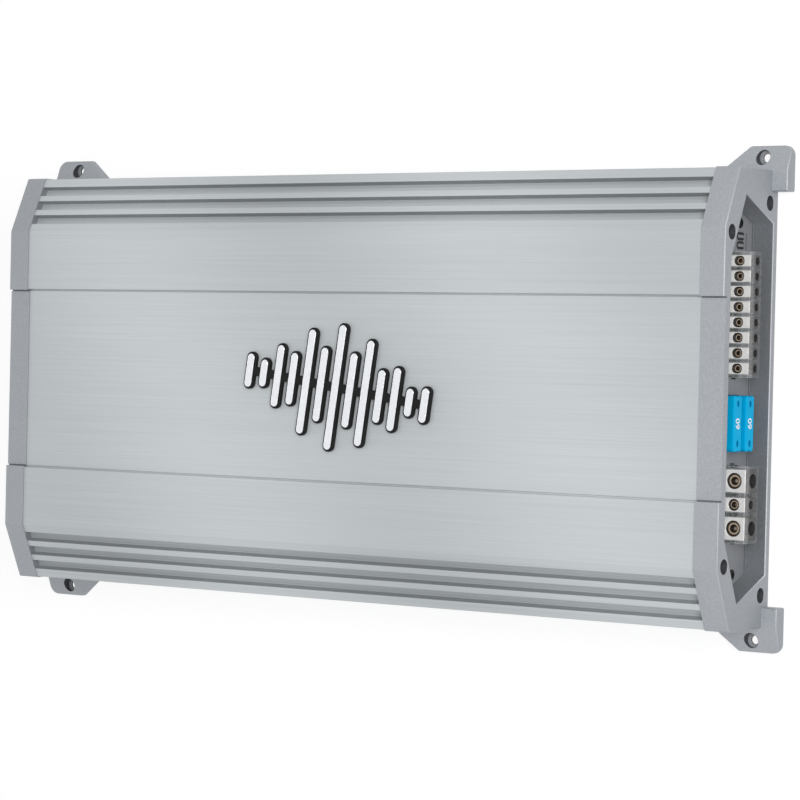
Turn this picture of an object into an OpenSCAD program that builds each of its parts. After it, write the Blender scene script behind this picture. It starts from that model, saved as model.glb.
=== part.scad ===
// Four-channel car amplifier: an extruded heatsink body between two cast end caps with mounting feet,
// connector panels in both ends, and the circuit board with its power stage inside.
// It lies on its feet: X runs along the length, Y across the width, Z up out of the wide face.
// The power and speaker end is at +X, the signal end at -X. Sizes are in millimetres.

/* [Body] */
// Length from end face to end face
body_l = 482; // [470:1:540]
// Width across the straight sides
body_w = 240; // [236:1:270]
// Height from the back of the body to the raised lands
body_h = 58; // [56:0.5:68]
// How far the feet stand below the back of the body
foot_drop = 1.2; // [0.8:0.1:3]
// Width of each sloped shoulder
slope_w = 32; // [30:0.5:35]
// Height of each sloped shoulder
slope_h = 14.5; // [13:0.5:16]
// Width of the sunk centre band
band_w = 105.4; // [80:0.2:120]
// Depth of the sunk centre band
band_drop = 2; // [1:0.1:2.6]
// Width of the shadow line cut along both edges of the centre band
line_w = 0.9; // [0.6:0.1:1.4]
// Depth of the shadow line
line_depth = 0.9; // [0.5:0.1:1.2]

/* [Heatsink] */
// How far the heatsink lies inside the outline of the end caps
sink_inset = 0.5; // [0.3:0.1:0.8]
// Thickness of the upright side walls
side_wall = 7; // [6.6:0.1:8]
// Thickness under the sloped shoulders
slope_wall = 8; // [7.5:0.1:9]
// Thickness under the centre band
top_wall = 4; // [3:0.1:5]
// Number of grooves in each shoulder and in each side
groove_count = 3; // [1:1:3]
// Width of a groove
groove_w = 5.6; // [3.6:0.1:5.8]
// Depth of the shoulder grooves
groove_depth = 4.2; // [3:0.1:4.8]
// Depth of the side grooves
side_groove_depth = 3; // [2.8:0.1:3.4]
// Radius in the corners of a groove's floor
groove_r = 0.5; // [0.3:0.1:1]
// Distance from one groove to the next
groove_pitch = 9.4; // [8.8:0.1:10.1]
// Distance from the foot of the shoulder to its first groove
groove_edge = 8.2; // [8:0.1:10.4]
// Distance from the foot of the shoulder down to the first side groove
side_groove_edge = 7; // [5:0.1:9]

/* [Screw channels] */
// Diameter of the end cap screws
cap_screw_d = 4; // [3.5:0.1:4.4]
// Wall of the screw channels
channel_wall = 1.7; // [1.4:0.1:2]
// Distance of the upper channels inboard of the shoulder
upper_in = 2.2; // [1.5:0.1:4]
// Depth of the upper channels below the lands
upper_down = 7.2; // [6.6:0.1:8]
// Distance of the lower channels from the side of the body
lower_in = 17.3; // [16.5:0.1:19]
// Height of the lower channels above the back of the body
lower_up = 9; // [8.6:0.1:10.5]
// Thickness of the shelf that joins a lower channel to its wall and carries the board
shelf_t = 3; // [2:0.1:4]

/* [Clearances] */
// Clearance all round a screw or shaft in its hole
turn_gap = 0.1; // [0.05:0.01:0.1]
// Clearance all round a plate or housing in its cut-out
seat_gap = 0.2; // [0.1:0.05:0.3]

/* [End caps] */
// Length of an end cap
cap_l = 14.3; // [13:0.1:18]
// Thickness of the cap's front wall under the lands
front_rim = 7; // [6:0.1:8.5]
// Thickness of the cap's back wall
back_rim = 4.2; // [4:0.1:6]
// Thickness of the cap under the sloped shoulder
bevel_rim = 13.2; // [12.6:0.1:14]
// Distance from the side of the body to the point of the opening
point_in = 14.2; // [12:0.1:16]
// Distance from the side of the body to the back corner of the opening
corner_in = 27.8; // [26:0.1:32]
// Diameter of the counterbores for the cap screws' heads
head_hole_d = 8; // [7.8:0.1:8.6]
// Diameter of the cap screws' heads
cap_head_d = 7.2; // [6:0.1:7.6]
// Height of the cap screws' heads
cap_head_h = 3.6; // [2.5:0.1:4.5]
// Thickness left under the cap screws' heads
head_floor = 4; // [3:0.1:6]
// Reach of the cap screws into the heatsink
cap_screw_reach = 16; // [10:1:24]
// Width of the cap screws' hexagon sockets, corner to corner
cap_hex_d = 3.6; // [2.5:0.1:5]
// Depth of the cap screws' hexagon sockets
cap_hex_l = 2.4; // [1:0.1:2.4]

/* [Mounting feet] */
// How far a foot stands out past the side
foot_out_y = 13.3; // [12.5:0.1:18]
// How far a foot stands out past the end face
foot_out_x = 9; // [7:0.1:12]
// Length of a foot's root along the side
foot_root_l = 30; // [27:0.5:36]
// Length of a foot's outer edge up to the end face
foot_edge_l = 15; // [12:0.5:20]
// How far a foot wraps along the end face
foot_wrap = 11; // [8:0.5:16]
// Thickness of a foot at the body
foot_t = 9; // [8:0.1:11]
// Thickness of a foot at its outer edge
foot_tip_t = 4; // [3:0.1:5.5]
// Radius of a foot's outer corner
foot_r = 5; // [3:0.1:6]
// Diameter of the mounting holes
bolt_d = 4.5; // [3.5:0.1:5.5]
// Diameter of the counterbores for the mounting screws
bolt_head_d = 8.2; // [7:0.1:9.4]
// Thickness under a mounting screw's head
bolt_seat = 1.8; // [1.2:0.1:2.6]
// Distance of the mounting holes inboard of the end faces
bolt_in_x = 7; // [5:0.1:9]
// Distance of the mounting holes outboard of the sides
bolt_out_y = 7; // [6:0.1:7.8]

/* [Bottom cover] */
// Thickness of the bottom cover
cover_t = 1.6; // [1:0.1:2]
// How far the cover lies inside the back of the heatsink
cover_sink = 0.2; // [0:0.1:0.5]
// Width of the heatsink's lip beside the cover
cover_lip = 1.6; // [1:0.1:1.8]
// Diameter of the cover screws
cover_screw_d = 2.6; // [2:0.1:3]
// Diameter of the cover screws' countersunk heads
cover_head_d = 4.4; // [3.8:0.1:4.8]
// Length of the cover screws
cover_screw_l = 8; // [5:0.5:9]
// Cover screws along each side
cover_screw_n = 5; // [3:1:8]
// Distance of the outer cover screws from the heatsink's ends
cover_screw_edge = 25; // [12:1:60]

/* [Connector panels] */
// Thickness of the connector panels
panel_t = 1.5; // [1:0.1:2]
// How far a panel reaches under its end cap
panel_lap = 2.5; // [1.5:0.1:2.7]
// Distance of the panel screws inboard of the back corners of the opening
panel_screw_in = 0.2; // [-0.2:0.1:2]
// Height of the panel screws above the circuit board
panel_screw_up = 3.4; // [3:0.1:6]
// Diameter of the panel screws
panel_screw_d = 3; // [2:0.1:3.5]
// Diameter of the panel screws' heads
panel_head_d = 5.5; // [5:0.1:6]
// Height of the panel screws' heads
panel_head_h = 1.8; // [1:0.1:2.4]
// Length of the cross slots in the panel screws' heads
cross_l = 3.2; // [2:0.1:4.5]
// Width of the cross slots
cross_w = 0.7; // [0.5:0.1:1]
// Depth of the cross slots
cross_depth = 0.8; // [0.4:0.1:0.9]
// Width of a panel bracket
bracket_w = 6.6; // [6:0.1:9]
// Height of a panel bracket
bracket_h = 9; // [7:0.5:14]
// Length of a panel bracket's foot on the board
bracket_l = 9; // [5:0.5:14]
// Thickness of a panel bracket
bracket_t = 2; // [1:0.1:3]

/* [Circuit board] */
// Thickness of the circuit board
board_t = 1.6; // [1.2:0.1:2]
// Distance of the board's ends from the panels
board_end_gap = 0.7; // [0.4:0.1:1]
// Diameter of the board screws
board_screw_d = 3; // [2:0.1:3]
// Diameter of the board screws' heads
board_head_d = 5.6; // [4.5:0.1:6]
// Height of the board screws' heads
board_head_h = 2; // [1.2:0.1:2.4]
// Reach of the board screws into the shelf
board_screw_reach = 2.6; // [1.5:0.1:5]
// Distance from one board screw to the next
board_screw_pitch = 100; // [95:1:105]

/* [Terminals] */
// Height of the terminal blocks' tops above the board
term_up = 12.4; // [12:0.1:14]
// How far the terminal blocks stand out of the panel
term_out = 11.4; // [9:0.1:12]
// How far the terminals reach in behind the panel
term_tail = 8; // [5:0.1:12]
// How far a wire hole runs on past its clamp screw
wire_past = 0.5; // [0.2:0.1:1]
// Depth of the drill's mark under a wire hole
drill_mark = 0.3; // [0.1:0.05:0.4]
// Wall at the ends and back of a terminal housing
term_wall = 1.5; // [1:0.1:2.5]
// Clearance beside a block in its housing
term_gap = 0.15; // [0.1:0.01:0.25]
// How far the housing stands above the blocks
term_lip = 0.3; // [0:0.1:0.8]
// Thickness of metal under a wire hole
wire_floor = 0.8; // [0.6:0.1:1.2]
// Distance of the clamp screws from the panel
screw_out = 4.9; // [4.5:0.1:6.5]
// Depth of the clamp screws' hexagon sockets
hex_depth = 2.2; // [1:0.1:2.4]

/* [Speaker terminals] */
// Number of speaker terminals
spk_n = 8; // [2:1:8]
// Distance from one speaker terminal to the next
spk_pitch = 8; // [7.2:0.1:8.4]
// Distance between the speaker terminals and the fuse holder
spk_clear = 4; // [2:0.1:8]
// Width of a speaker block
spk_w = 6; // [5.6:0.1:6.6]
// Height of a speaker block
spk_h = 10.5; // [9.8:0.1:11]
// Diameter of a speaker wire hole
spk_wire_d = 4.2; // [3:0.1:4.6]
// Diameter of a speaker clamp screw
spk_screw_d = 4.7; // [4:0.1:5]
// Length of a speaker clamp screw
spk_screw_l = 4.1; // [3:0.1:4.4]
// How deep a speaker clamp screw lies in its block
spk_sink = 1.2; // [0.6:0.1:1.4]
// Width of the hexagon socket, corner to corner
spk_hex_d = 2.6; // [1.8:0.1:3]

/* [Power terminals] */
// Distance from one power terminal to the next
pwr_pitch = 12.4; // [12.2:0.1:14]
// Distance between the power terminals and the fuse holder
pwr_clear = 2.2; // [1:0.1:6]
// Width of the two supply blocks
pwr_w = 12; // [11:0.1:12.4]
// Width of the small switch-on block in the middle
mid_w = 7.5; // [7:0.1:8]
// Height of the power blocks
pwr_h = 13; // [12.2:0.1:13.4]
// Thickness of the housing under the power blocks
pwr_floor = 1.6; // [1:0.1:2]
// Height of the power blocks' tails
tail_h = 7; // [4:0.1:9]
// Diameter of a supply wire hole
pwr_wire_d = 7.6; // [6:0.1:7.8]
// Diameter of the switch-on wire hole
mid_wire_d = 4.6; // [3:0.1:5]
// Diameter of a supply clamp screw
pwr_screw_d = 8.2; // [7:0.1:8.6]
// Diameter of the switch-on clamp screw
mid_screw_d = 6; // [5:0.1:6.2]
// Length of the power clamp screws
pwr_screw_l = 3.5; // [2.6:0.1:3.6]
// How deep the power clamp screws lie in their blocks
pwr_sink = 1; // [0.8:0.1:1.2]
// Width of the supply screws' hexagon sockets, corner to corner
pwr_hex_d = 4.6; // [3:0.1:5]
// Width of the switch-on screw's hexagon socket, corner to corner
mid_hex_d = 3.4; // [2:0.1:4.4]

/* [Fuses] */
// Width of a fuse
fuse_w = 29.2; // [28.5:0.1:30]
// Thickness of a fuse
fuse_t = 8.9; // [8.4:0.1:9.4]
// Length of a fuse's body
fuse_l = 21; // [19:0.1:23]
// How far a fuse stands out of the panel
fuse_out = 9.3; // [7:0.1:11]
// Place of the fuses across the width
fuse_y = -12.7; // [-13.5:0.1:-11.5]
// Distance from one fuse to the other
fuse_pitch = 13.6; // [13:0.1:15]
// Height of the lower fuse above the board
fuse_up = 4.6; // [4.4:0.1:6]
// Width of a fuse blade
blade_w = 8; // [6:0.1:8.4]
// Thickness of a fuse blade
blade_t = 0.8; // [0.6:0.1:1]
// Length of a fuse blade
blade_l = 13; // [10:0.5:15]
// Distance between the two blades of a fuse
blade_pitch = 19; // [17:0.5:19.4]
// Diameter of the test holes in the front of a fuse
test_hole_d = 1.6; // [1:0.1:2.4]
// Depth of the test holes
test_hole_l = 0.8; // [0.4:0.1:2]
// Distance of the test holes from the sides of a fuse
test_hole_in = 4; // [2:0.1:6]
// Depth of the grooves in the sides of a fuse
fuse_groove = 0.6; // [0.3:0.1:1]
// Wall of the fuse holder
holder_wall = 1.2; // [1:0.1:1.6]
// Thickness of the holder's ears
ear_t = 1.2; // [1:0.1:2]
// Thickness of a fuse contact's leaf
leaf_t = 0.9; // [0.6:0.1:1.2]
// Width of the holder's ears on the board
holder_ear = 4; // [3:0.5:6]

/* [Signal sockets] */
// Columns of signal sockets
rca_columns = 4; // [1:1:4]
// Distance from one signal socket to the next
rca_pitch = 13; // [11:0.1:14.2]
// Height of the lower row above the board
rca_up = 7.5; // [6.5:0.1:8.5]
// Depth of the socket housing behind the panel
rca_depth = 12; // [9:0.5:20]
// Wall behind the sockets
rca_back = 1.2; // [0.8:0.1:3]
// Outside diameter of a socket's metal sleeve
rca_d = 8.3; // [8:0.1:8.6]
// How far a sleeve's root stands out all round, in the housing and the panel
rca_root = 0.6; // [0.3:0.1:1]
// Wall of a socket's sleeve
rca_wall = 0.5; // [0.4:0.05:0.7]
// How far a socket's sleeve stands out of the panel
rca_out = 9.5; // [8:0.1:12]
// Diameter of a socket's centre hole
rca_core_d = 3.2; // [2.8:0.1:3.6]

/* [Controls] */
// Distance between the sockets, the level controls, the selectors and the jack
control_gap = 3.5; // [2:0.1:5]
// Number of level controls
pot_n = 4; // [1:1:4]
// Distance from one level control to the next
pot_pitch = 12.5; // [11.5:0.1:14]
// Height of the level controls and selectors above the board
control_up = 13; // [12:0.5:14]
// Diameter of a level control's shaft
pot_d = 6; // [4:0.1:7]
// How far a shaft stands out of the panel
pot_out = 3; // [1.5:0.1:6]
// Width of the screwdriver slot in a shaft
pot_slot_w = 1; // [0.6:0.1:1.6]
// Depth of the screwdriver slot
pot_slot_depth = 1.5; // [0.8:0.1:1.5]
// Width of a level control's body
pot_w = 10.5; // [9:0.1:11.5]
// Depth of the bodies of the controls behind the panel
control_depth = 9; // [8:0.1:12]
// Wall behind a level control's shaft
control_back = 1.2; // [0.8:0.1:2]
// Number of selector switches
switch_n = 2; // [1:1:2]
// Distance between the selector switches
switch_pitch = 15; // [14.4:0.1:17]
// Travel of a selector switch
switch_travel = 4; // [2:0.1:4.4]
// Width of a selector's tip
tip_w = 3.4; // [2.5:0.1:4]
// How far a selector's tip stands out of the panel
tip_out = 3; // [1.5:0.1:5]
// Width of a selector's slide
slide_w = 6; // [5:0.1:6.6]
// Height of a selector's slide
slide_h = 4.8; // [4.6:0.1:6]
// Thickness of a selector's slide
slide_l = 4; // [2:0.1:6]
// Width of a selector switch's body
switch_w = 13.4; // [12.2:0.1:14.4]
// Height of a selector switch's body
switch_h = 17.6; // [16.5:0.1:24]
// Width of the level-remote jack
jack_w = 12.5; // [11.6:0.1:14]
// Height of the level-remote jack
jack_h = 11.5; // [11:0.1:14]
// Width of the jack's mouth
jack_mouth_w = 9.7; // [9:0.1:10.4]
// Height of the jack's mouth
jack_mouth_h = 6.8; // [6:0.1:7.6]
// Depth of the jack's mouth behind the panel
jack_mouth_l = 10.8; // [8:0.1:14]
// Wall behind the jack's mouth
jack_back = 1.2; // [0.8:0.1:3]
// Height of the status lights above the jack
led_up = 5; // [3:0.1:9]
// Distance from one status light to the other
led_pitch = 7; // [6:0.1:9]
// Diameter of a status light
led_d = 3; // [2:0.1:3.4]
// Thickness of a status light's flange and how far it stands out all round
led_flange = 0.8; // [0.4:0.1:1]
// Width of a status light's leads
lead_w = 0.6; // [0.4:0.1:0.8]
// Clearance between the status lights' leads and the back of the jack
lead_clear = 1.4; // [0.5:0.1:4]

/* [Power stage] */
// Transistors in each group
tr_n = 3; // [2:1:3]
// Distance from one transistor to the next
tr_pitch = 22; // [20:0.5:24]
// Width of a transistor
tr_w = 10; // [8:0.1:11]
// Height of a transistor's plastic body
tr_h = 9.2; // [8:0.1:10]
// Thickness of a transistor's plastic body
tr_t = 3.3; // [3:0.1:4]
// Clearance between the insulating strips and the sloped wall
tab_headroom = 2.2; // [1:0.1:3.5]
// Thickness of a transistor's metal tab
tab_t = 1.3; // [1:0.1:1.6]
// Diameter of the hole in a transistor's tab
tab_hole_d = 3.4; // [2.5:0.1:4]
// Distance of that hole below the tab's top
tab_hole_down = 3.2; // [2.8:0.1:3.6]
// Width of a transistor's legs
leg_w = 0.8; // [0.5:0.1:1.2]
// Distance from one leg to the next
leg_pitch = 2.5; // [2:0.1:3.2]
// Height of the transistors above the board
tr_up = 4; // [3:0.1:4.5]
// Thickness of the insulating strips
strip_t = 0.4; // [0.2:0.05:0.8]
// How far the strips reach past the transistors
strip_margin = 1.2; // [0.5:0.1:1.6]
// Thickness of the clamp bars
bar_t = 2; // [1.5:0.1:3]
// Height of the clamp bars
bar_h = 7; // [6:0.1:7.6]
// Diameter of the clamp screws
clamp_screw_d = 3; // [2:0.1:3.4]
// Reach of the clamp screws into the side walls
clamp_reach = 3.2; // [2:0.1:3.4]
// Diameter of the clamp screws' heads
clamp_head_d = 5.2; // [4.2:0.1:6.4]
// Height of the clamp screws' heads
clamp_head_h = 2; // [1:0.1:3]
// Outside diameter of the transformers
coil_d = 58; // [46:1:64]
// Hole diameter of the transformers
coil_hole_d = 22; // [18:1:26]
// Height of the transformers
coil_h = 27; // [20:0.5:30]
// Distance of the first transformer from the power end of the board
coil_in = 97; // [94:0.5:110]
// Clearance between the transformers
coil_clear = 8; // [2:0.5:14]
// Thickness of the wire layer on a transformer
wire_t = 3.5; // [2:0.1:4.5]
// Size of the choke as a share of a transformer's
choke_share = 0.6; // [0.4:0.05:0.7]
// Distance of the choke from the power end of the board
choke_in = 58; // [52:0.5:64]
// Distance of the choke from the middle of the width
choke_y = 52; // [46:0.5:60]
// Diameter of the reservoir capacitors
can_d = 25; // [18:0.5:28]
// Clearance above the reservoir capacitors
can_headroom = 4; // [2:0.1:12]
// Distance from one row of reservoir capacitors to the next, along the length
can_pitch = 32; // [28.5:0.5:36]
// Distance of the reservoir capacitors from the middle of the width
can_y = 48; // [44:0.5:56]
// Clearance between the reservoir capacitors and the transformers
can_clear = 20; // [8:0.5:24]
// Diameter of the input capacitors
small_can_d = 16; // [10:0.5:18]
// Height of the input capacitors
small_can_h = 26; // [16:0.5:32]
// Distance from one input capacitor to the next
small_can_pitch = 20; // [18.5:0.5:24]
// Distance of the input capacitors from the middle of the width
small_can_y = 34; // [26:0.5:40]
// Distance of the input capacitors from the power end of the board
small_can_in = 58; // [52:0.5:70]
// Distance of the driver boards from the signal end of the board
driver_in = 51; // [40:0.5:60]
// Distance of the driver boards from the middle of the width
driver_y = 24; // [15:0.5:30]
// Length of a driver board
driver_l = 70; // [50:1:80]
// Thickness of a driver board
driver_t = 1.6; // [1:0.1:2.4]
// Height of a driver board
driver_h = 24; // [18:0.5:28]
// Length of a driver chip
chip_l = 9; // [5:0.1:10]
// Thickness of a driver chip
chip_t = 1.8; // [1:0.1:3]
// Height of a driver chip
chip_h = 6; // [3:0.1:9]
// Distance from one driver chip to the next
chip_pitch = 12; // [11:0.1:16]
// Height of the driver chips above the board
chip_up = 9; // [4:0.1:14]
// Film capacitors along each side
film_n = 7; // [3:1:8]
// Length of a film capacitor
film_l = 12; // [8:0.5:14]
// Thickness of a film capacitor
film_t = 6; // [4:0.1:8]
// Height of a film capacitor
film_h = 11; // [7:0.1:16]
// Distance from one film capacitor to the next
film_pitch = 16; // [14.5:0.5:18]
// Distance of the film capacitors from the middle of the width
film_y = 84; // [76:0.5:88]

/* [Badge] */
// Height of the tallest bar of the badge
badge_h = 70; // [40:1:80]
// Height of the outer bars as a share of the tallest
badge_low = 0.26; // [0.2:0.01:0.6]
// Height of every second bar as a share of its neighbours'
badge_dip = 0.62; // [0.5:0.01:0.9]
// Number of bars on the badge
badge_n = 13; // [7:2:15]
// Distance from one bar to the next
badge_pitch = 10; // [8.6:0.1:11]
// Width of a bar's bright face
badge_bar_w = 4.6; // [3:0.1:5]
// Width of the dark edge round a bar's face
badge_edge = 1.2; // [0.6:0.1:1.6]
// Width of the rail that joins the bars
badge_rail_w = 5; // [3:0.5:8]
// Thickness of the badge's dark base
badge_base_t = 2.4; // [1:0.1:4]
// Thickness of the badge's bright faces
badge_face_t = 0.8; // [0.4:0.1:1.5]
// Tilt of the badge in degrees
badge_tilt = -8; // [-20:1:20]

/* [Hidden] */
$fn = 48;
cut = 1;
half_l = body_l / 2;
half_w = body_w / 2;
z_back = foot_drop;
z_land = z_back + body_h;
z_band = z_land - band_drop;
z_side = z_land - slope_h;
land_y = half_w - slope_w;
slope_l = norm([slope_w, slope_h]);
slope_a = atan2(slope_h, slope_w);

sink_half = half_l - cap_l;
sink_side = half_w - sink_inset;
sink_back = z_back + sink_inset;
sink_band = z_band - sink_inset;
inner_side = sink_side - side_wall;
inner_top = sink_band - top_wall;

// Where the cap screws run on the +Y side, in [y, z]
upper = [land_y - upper_in, z_land - upper_down];
lower = [half_w - lower_in, z_back + lower_up];
screw_spots = [upper, lower];
channel_d = cap_screw_d + 2 * turn_gap;
channel_r = channel_d / 2 + channel_wall;
head_x = sink_half + head_floor;

opening_top = z_land - front_rim;
point_y = half_w - point_in;

shelf_z = lower[1] + channel_r + seat_gap;
board_z = shelf_z;
board_top = board_z + board_t;
board_end = sink_half - board_end_gap;
board_side = inner_side - seat_gap;
board_screw_y = (lower[0] + inner_side) / 2;

cover_z = sink_back + cover_sink;
ledge_z = cover_z + cover_t;
rebate_side = sink_side - cover_lip;
cover_side = rebate_side - seat_gap;
cover_screw_y = (inner_side + cover_side) / 2;
cover_screw_pitch = 2 * (sink_half - cover_screw_edge) / (cover_screw_n - 1);

panel_x = sink_half + panel_t;
panel_screw_y = half_w - corner_in - panel_screw_in;
panel_screw_z = board_top + panel_screw_up;

term_top = board_top + term_up;
term_face = panel_x + term_out;
term_back = sink_half - term_tail;
term_screw_x = panel_x + screw_out;
spk_bottom = term_top - spk_h;
spk_span = (spk_n - 1) * spk_pitch + spk_w + 2 * (term_gap + term_wall);
pwr_bottom = term_top - pwr_h;
pwr_span = 2 * pwr_pitch + pwr_w + 2 * (term_gap + term_wall);
tail_z = board_top + pwr_floor;
pwr_widths = [pwr_w, mid_w, pwr_w];
pwr_wires = [pwr_wire_d, mid_wire_d, pwr_wire_d];
pwr_screws = [pwr_screw_d, mid_screw_d, pwr_screw_d];
pwr_hexes = [pwr_hex_d, mid_hex_d, pwr_hex_d];

fuse_face = panel_x + fuse_out;
fuse_back = fuse_face - fuse_l;
blade_tip = fuse_back - blade_l;
fuse_zs = [board_top + fuse_up, board_top + fuse_up + fuse_pitch];
pocket_w = fuse_w + 2 * seat_gap;
pocket_t = fuse_t + 2 * seat_gap;
slot_w = blade_w + 2 * seat_gap;
slot_t = blade_t + 2 * (turn_gap + leaf_t);
slot_back = blade_tip - seat_gap;
holder_back = slot_back - holder_wall;
holder_w = pocket_w + 2 * holder_wall;
spk_y = fuse_y + holder_w / 2 + holder_ear + spk_clear + spk_span / 2;
pwr_y = fuse_y - holder_w / 2 - holder_ear - pwr_clear - pwr_span / 2;
holder_low = fuse_zs[0] - pocket_t / 2 - holder_wall;
holder_high = fuse_zs[1] + pocket_t / 2 + holder_wall;

rca_seat = sink_half - rca_depth + rca_back;
rca_end = panel_x + rca_out;
rca_root_d = rca_d + 2 * rca_root;
rca_zs = [board_top + rca_up, board_top + rca_up + rca_pitch];
rca_l = rca_columns * rca_pitch;
pots_l = (pot_n - 1) * pot_pitch + pot_w;
switches_l = (switch_n - 1) * switch_pitch + switch_w;
row_l = rca_l + pots_l + switches_l + jack_w + 3 * control_gap;
rca_y = (row_l - rca_l) / 2;
pot_y = rca_y - (rca_l + pots_l) / 2 - control_gap;
switch_y = pot_y - (pots_l + switches_l) / 2 - control_gap;
jack_y = switch_y - (switches_l + jack_w) / 2 - control_gap;

control_back_x = sink_half - control_depth;
control_z = board_top + control_up;
pot_seat = control_back_x + control_back;
pot_end = panel_x + pot_out;
slide_slot_w = slide_w + switch_travel + 2 * seat_gap;
tip_slot_w = tip_w + switch_travel + 2 * seat_gap;
jack_z = board_top + jack_h / 2;
jack_back_x = sink_half - jack_mouth_l - jack_back;
led_z = board_top + jack_h + led_up;
lead_x = jack_back_x - lead_clear - lead_w;

tr_z = board_top + tr_up;
strip_y = inner_side - strip_t;
tab_face_y = strip_y - tab_t;
bar_y = tab_face_y - tr_t;
bar_z = tr_z + tr_h / 2;
clamp_through = bar_t + tr_t + tab_t + strip_t;
group_l = (tr_n - 1) * tr_pitch + tr_w + 2 * strip_margin;
group_xs = [for (i = [-1.5:1:1.5]) i * board_screw_pitch];

corner_z = shoulder_z(inner_side, sink_inset + slope_wall);
tab_top = corner_z - tab_headroom - strip_margin;

// The transformers and the choke, as [x, y, scale]
coil_x = board_end - coil_in - coil_d / 2;
second_coil_x = coil_x - coil_d - coil_clear;
choke_x = board_end - choke_in - coil_d * choke_share / 2;
coil_places = [[coil_x, 0, 1], [second_coil_x, 0, 1], [choke_x, -choke_y, choke_share]];
can_top = inner_top - can_headroom;
can_x = second_coil_x - coil_d / 2 - can_clear - can_d / 2;
can_places = [for (i = [0:2], s = [-1, 1]) [can_x - i * can_pitch, s * can_y]];
small_can_x = board_end - small_can_in - small_can_d / 2;
small_can_places = [for (i = [0:2], j = [0, 1])
    [small_can_x - i * small_can_pitch, small_can_y + j * small_can_pitch]];
driver_x = driver_in - board_end;
film_x = can_x + can_d / 2;

badge_mid = (badge_n - 1) / 2;
badge_z = sink_band + badge_base_t;

// ---- Outlines in the plane across the body, as [y, z] ----

function unit(v) = v / norm(v);
function normal(p, q) = let (d = unit(q - p)) [d[1], -d[0]];

// The outline moved outward by m along its edges' normals; a negative m moves it inward
function grown(pts, m) = let (n = len(pts)) [
    for (i = [0:n - 1])
        let (n1 = normal(pts[(i + n - 1) % n], pts[i]), n2 = normal(pts[i], pts[(i + 1) % n]))
            pts[i] + m * (n1 + n2) / (1 + n1 * n2)];

// Height and place of a line that runs t below the sloped shoulder
function shoulder_z(y, t) = z_land - (y - land_y) * slope_h / slope_w - t * slope_l / slope_w;
function shoulder_y(z, t) = land_y + (z_land - z - t * slope_l / slope_w) * slope_w / slope_h;

// Both halves of an outline whose right half is listed from the bottom up
function both(right) = concat(right, [for (i = [len(right) - 1:-1:0]) [-right[i][0], right[i][1]]]);

// A plain outline with the shadow lines cut in at the feet of its two steps
function lined(o) = let (foot = o[4], line_y = foot[0] - line_w, line_z = foot[1] - line_depth)
    both([o[0], o[1], o[2], o[3], [foot[0], line_z], [line_y, line_z], [line_y, foot[1]]]);

plain_outline = both([
    [half_w, z_back],
    [half_w, z_side],
    [land_y, z_land],
    [band_w / 2, z_land],
    [band_w / 2, z_band]]);
body_outline = lined(plain_outline);
sink_outline = lined(grown(plain_outline, -sink_inset));
inner_outline = both([
    [inner_side, -cut],
    [inner_side, corner_z],
    [shoulder_y(inner_top, sink_inset + slope_wall), inner_top]]);
opening_outline = both([
    [half_w - corner_in, z_back + back_rim],
    [point_y, shoulder_z(point_y, bevel_rim)],
    [shoulder_y(opening_top, bevel_rim), opening_top]]);

// ---- Shared shapes ----

// Extrudes a child drawn in [y, z] along X
module along_x(x1, x2) translate([x1, 0, 0]) rotate([90, 0, 90]) linear_extrude(x2 - x1) children();

// A box from x1 to x2 and from z1 to z2, whose width w is centred on y
module slab(x1, x2, y, w, z1, z2) translate([x1, y - w / 2, z1]) cube([x2 - x1, w, z2 - z1]);

module rod_x(x1, x2, y, z, d) translate([x1, y, z]) rotate([0, 90, 0]) cylinder(d = d, h = x2 - x1);
module rod_y(y1, y2, d) translate([0, y1, 0]) rotate([-90, 0, 0]) cylinder(d = d, h = y2 - y1);
module rod_z(x, y, z1, z2, d) translate([x, y, z1]) cylinder(d = d, h = z2 - z1);

module at_both_ends() for (m = [0, 1]) mirror([m, 0, 0]) children();
module on_both_sides() for (m = [0, 1]) mirror([0, m, 0]) children();

// What stands at the signal end is drawn at +X and mirrored
module at_signal_end() mirror([1, 0, 0]) children();

// ---- Heatsink and bottom cover ----

// A flat-floored groove, whose mouth is centred on the origin and faces +Y
module groove(depth) {
    translate([-groove_w / 2, groove_r - depth]) square([groove_w, depth]);
    translate([groove_r - groove_w / 2, -depth]) square([groove_w - 2 * groove_r, depth]);
    for (s = [-1, 1]) translate([s * (groove_w / 2 - groove_r), groove_r - depth]) circle(r = groove_r);
}

// The grooves of one shoulder and one side
module grooves() for (i = [0:groove_count - 1]) {
    foot = sink_outline[1];
    up_slope = unit(sink_outline[2] - foot);
    translate(foot + (groove_edge + i * groove_pitch) * up_slope) rotate(-slope_a) groove(groove_depth);
    translate(foot - [0, side_groove_edge + i * groove_pitch]) rotate(-90) groove(side_groove_depth);
}

module sink_section() difference() {
    union() {
        difference() {
            polygon(sink_outline);
            polygon(inner_outline);
        }
        for (m = [0, 1]) mirror([m, 0]) {
            for (p = screw_spots) translate(p) circle(r = channel_r);
            translate([lower[0], shelf_z - shelf_t]) square([inner_side - lower[0] + cut, shelf_t]);
        }
    }
    translate([-rebate_side, -cut]) square([2 * rebate_side, ledge_z + cut]);
    for (m = [0, 1]) mirror([m, 0]) {
        for (p = screw_spots) translate(p) circle(d = channel_d);
        grooves();
    }
}

module at_cover_screws() for (i = [0:cover_screw_n - 1], s = [-1, 1])
    translate([cover_screw_edge - sink_half + i * cover_screw_pitch, s * cover_screw_y, 0]) children();

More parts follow.
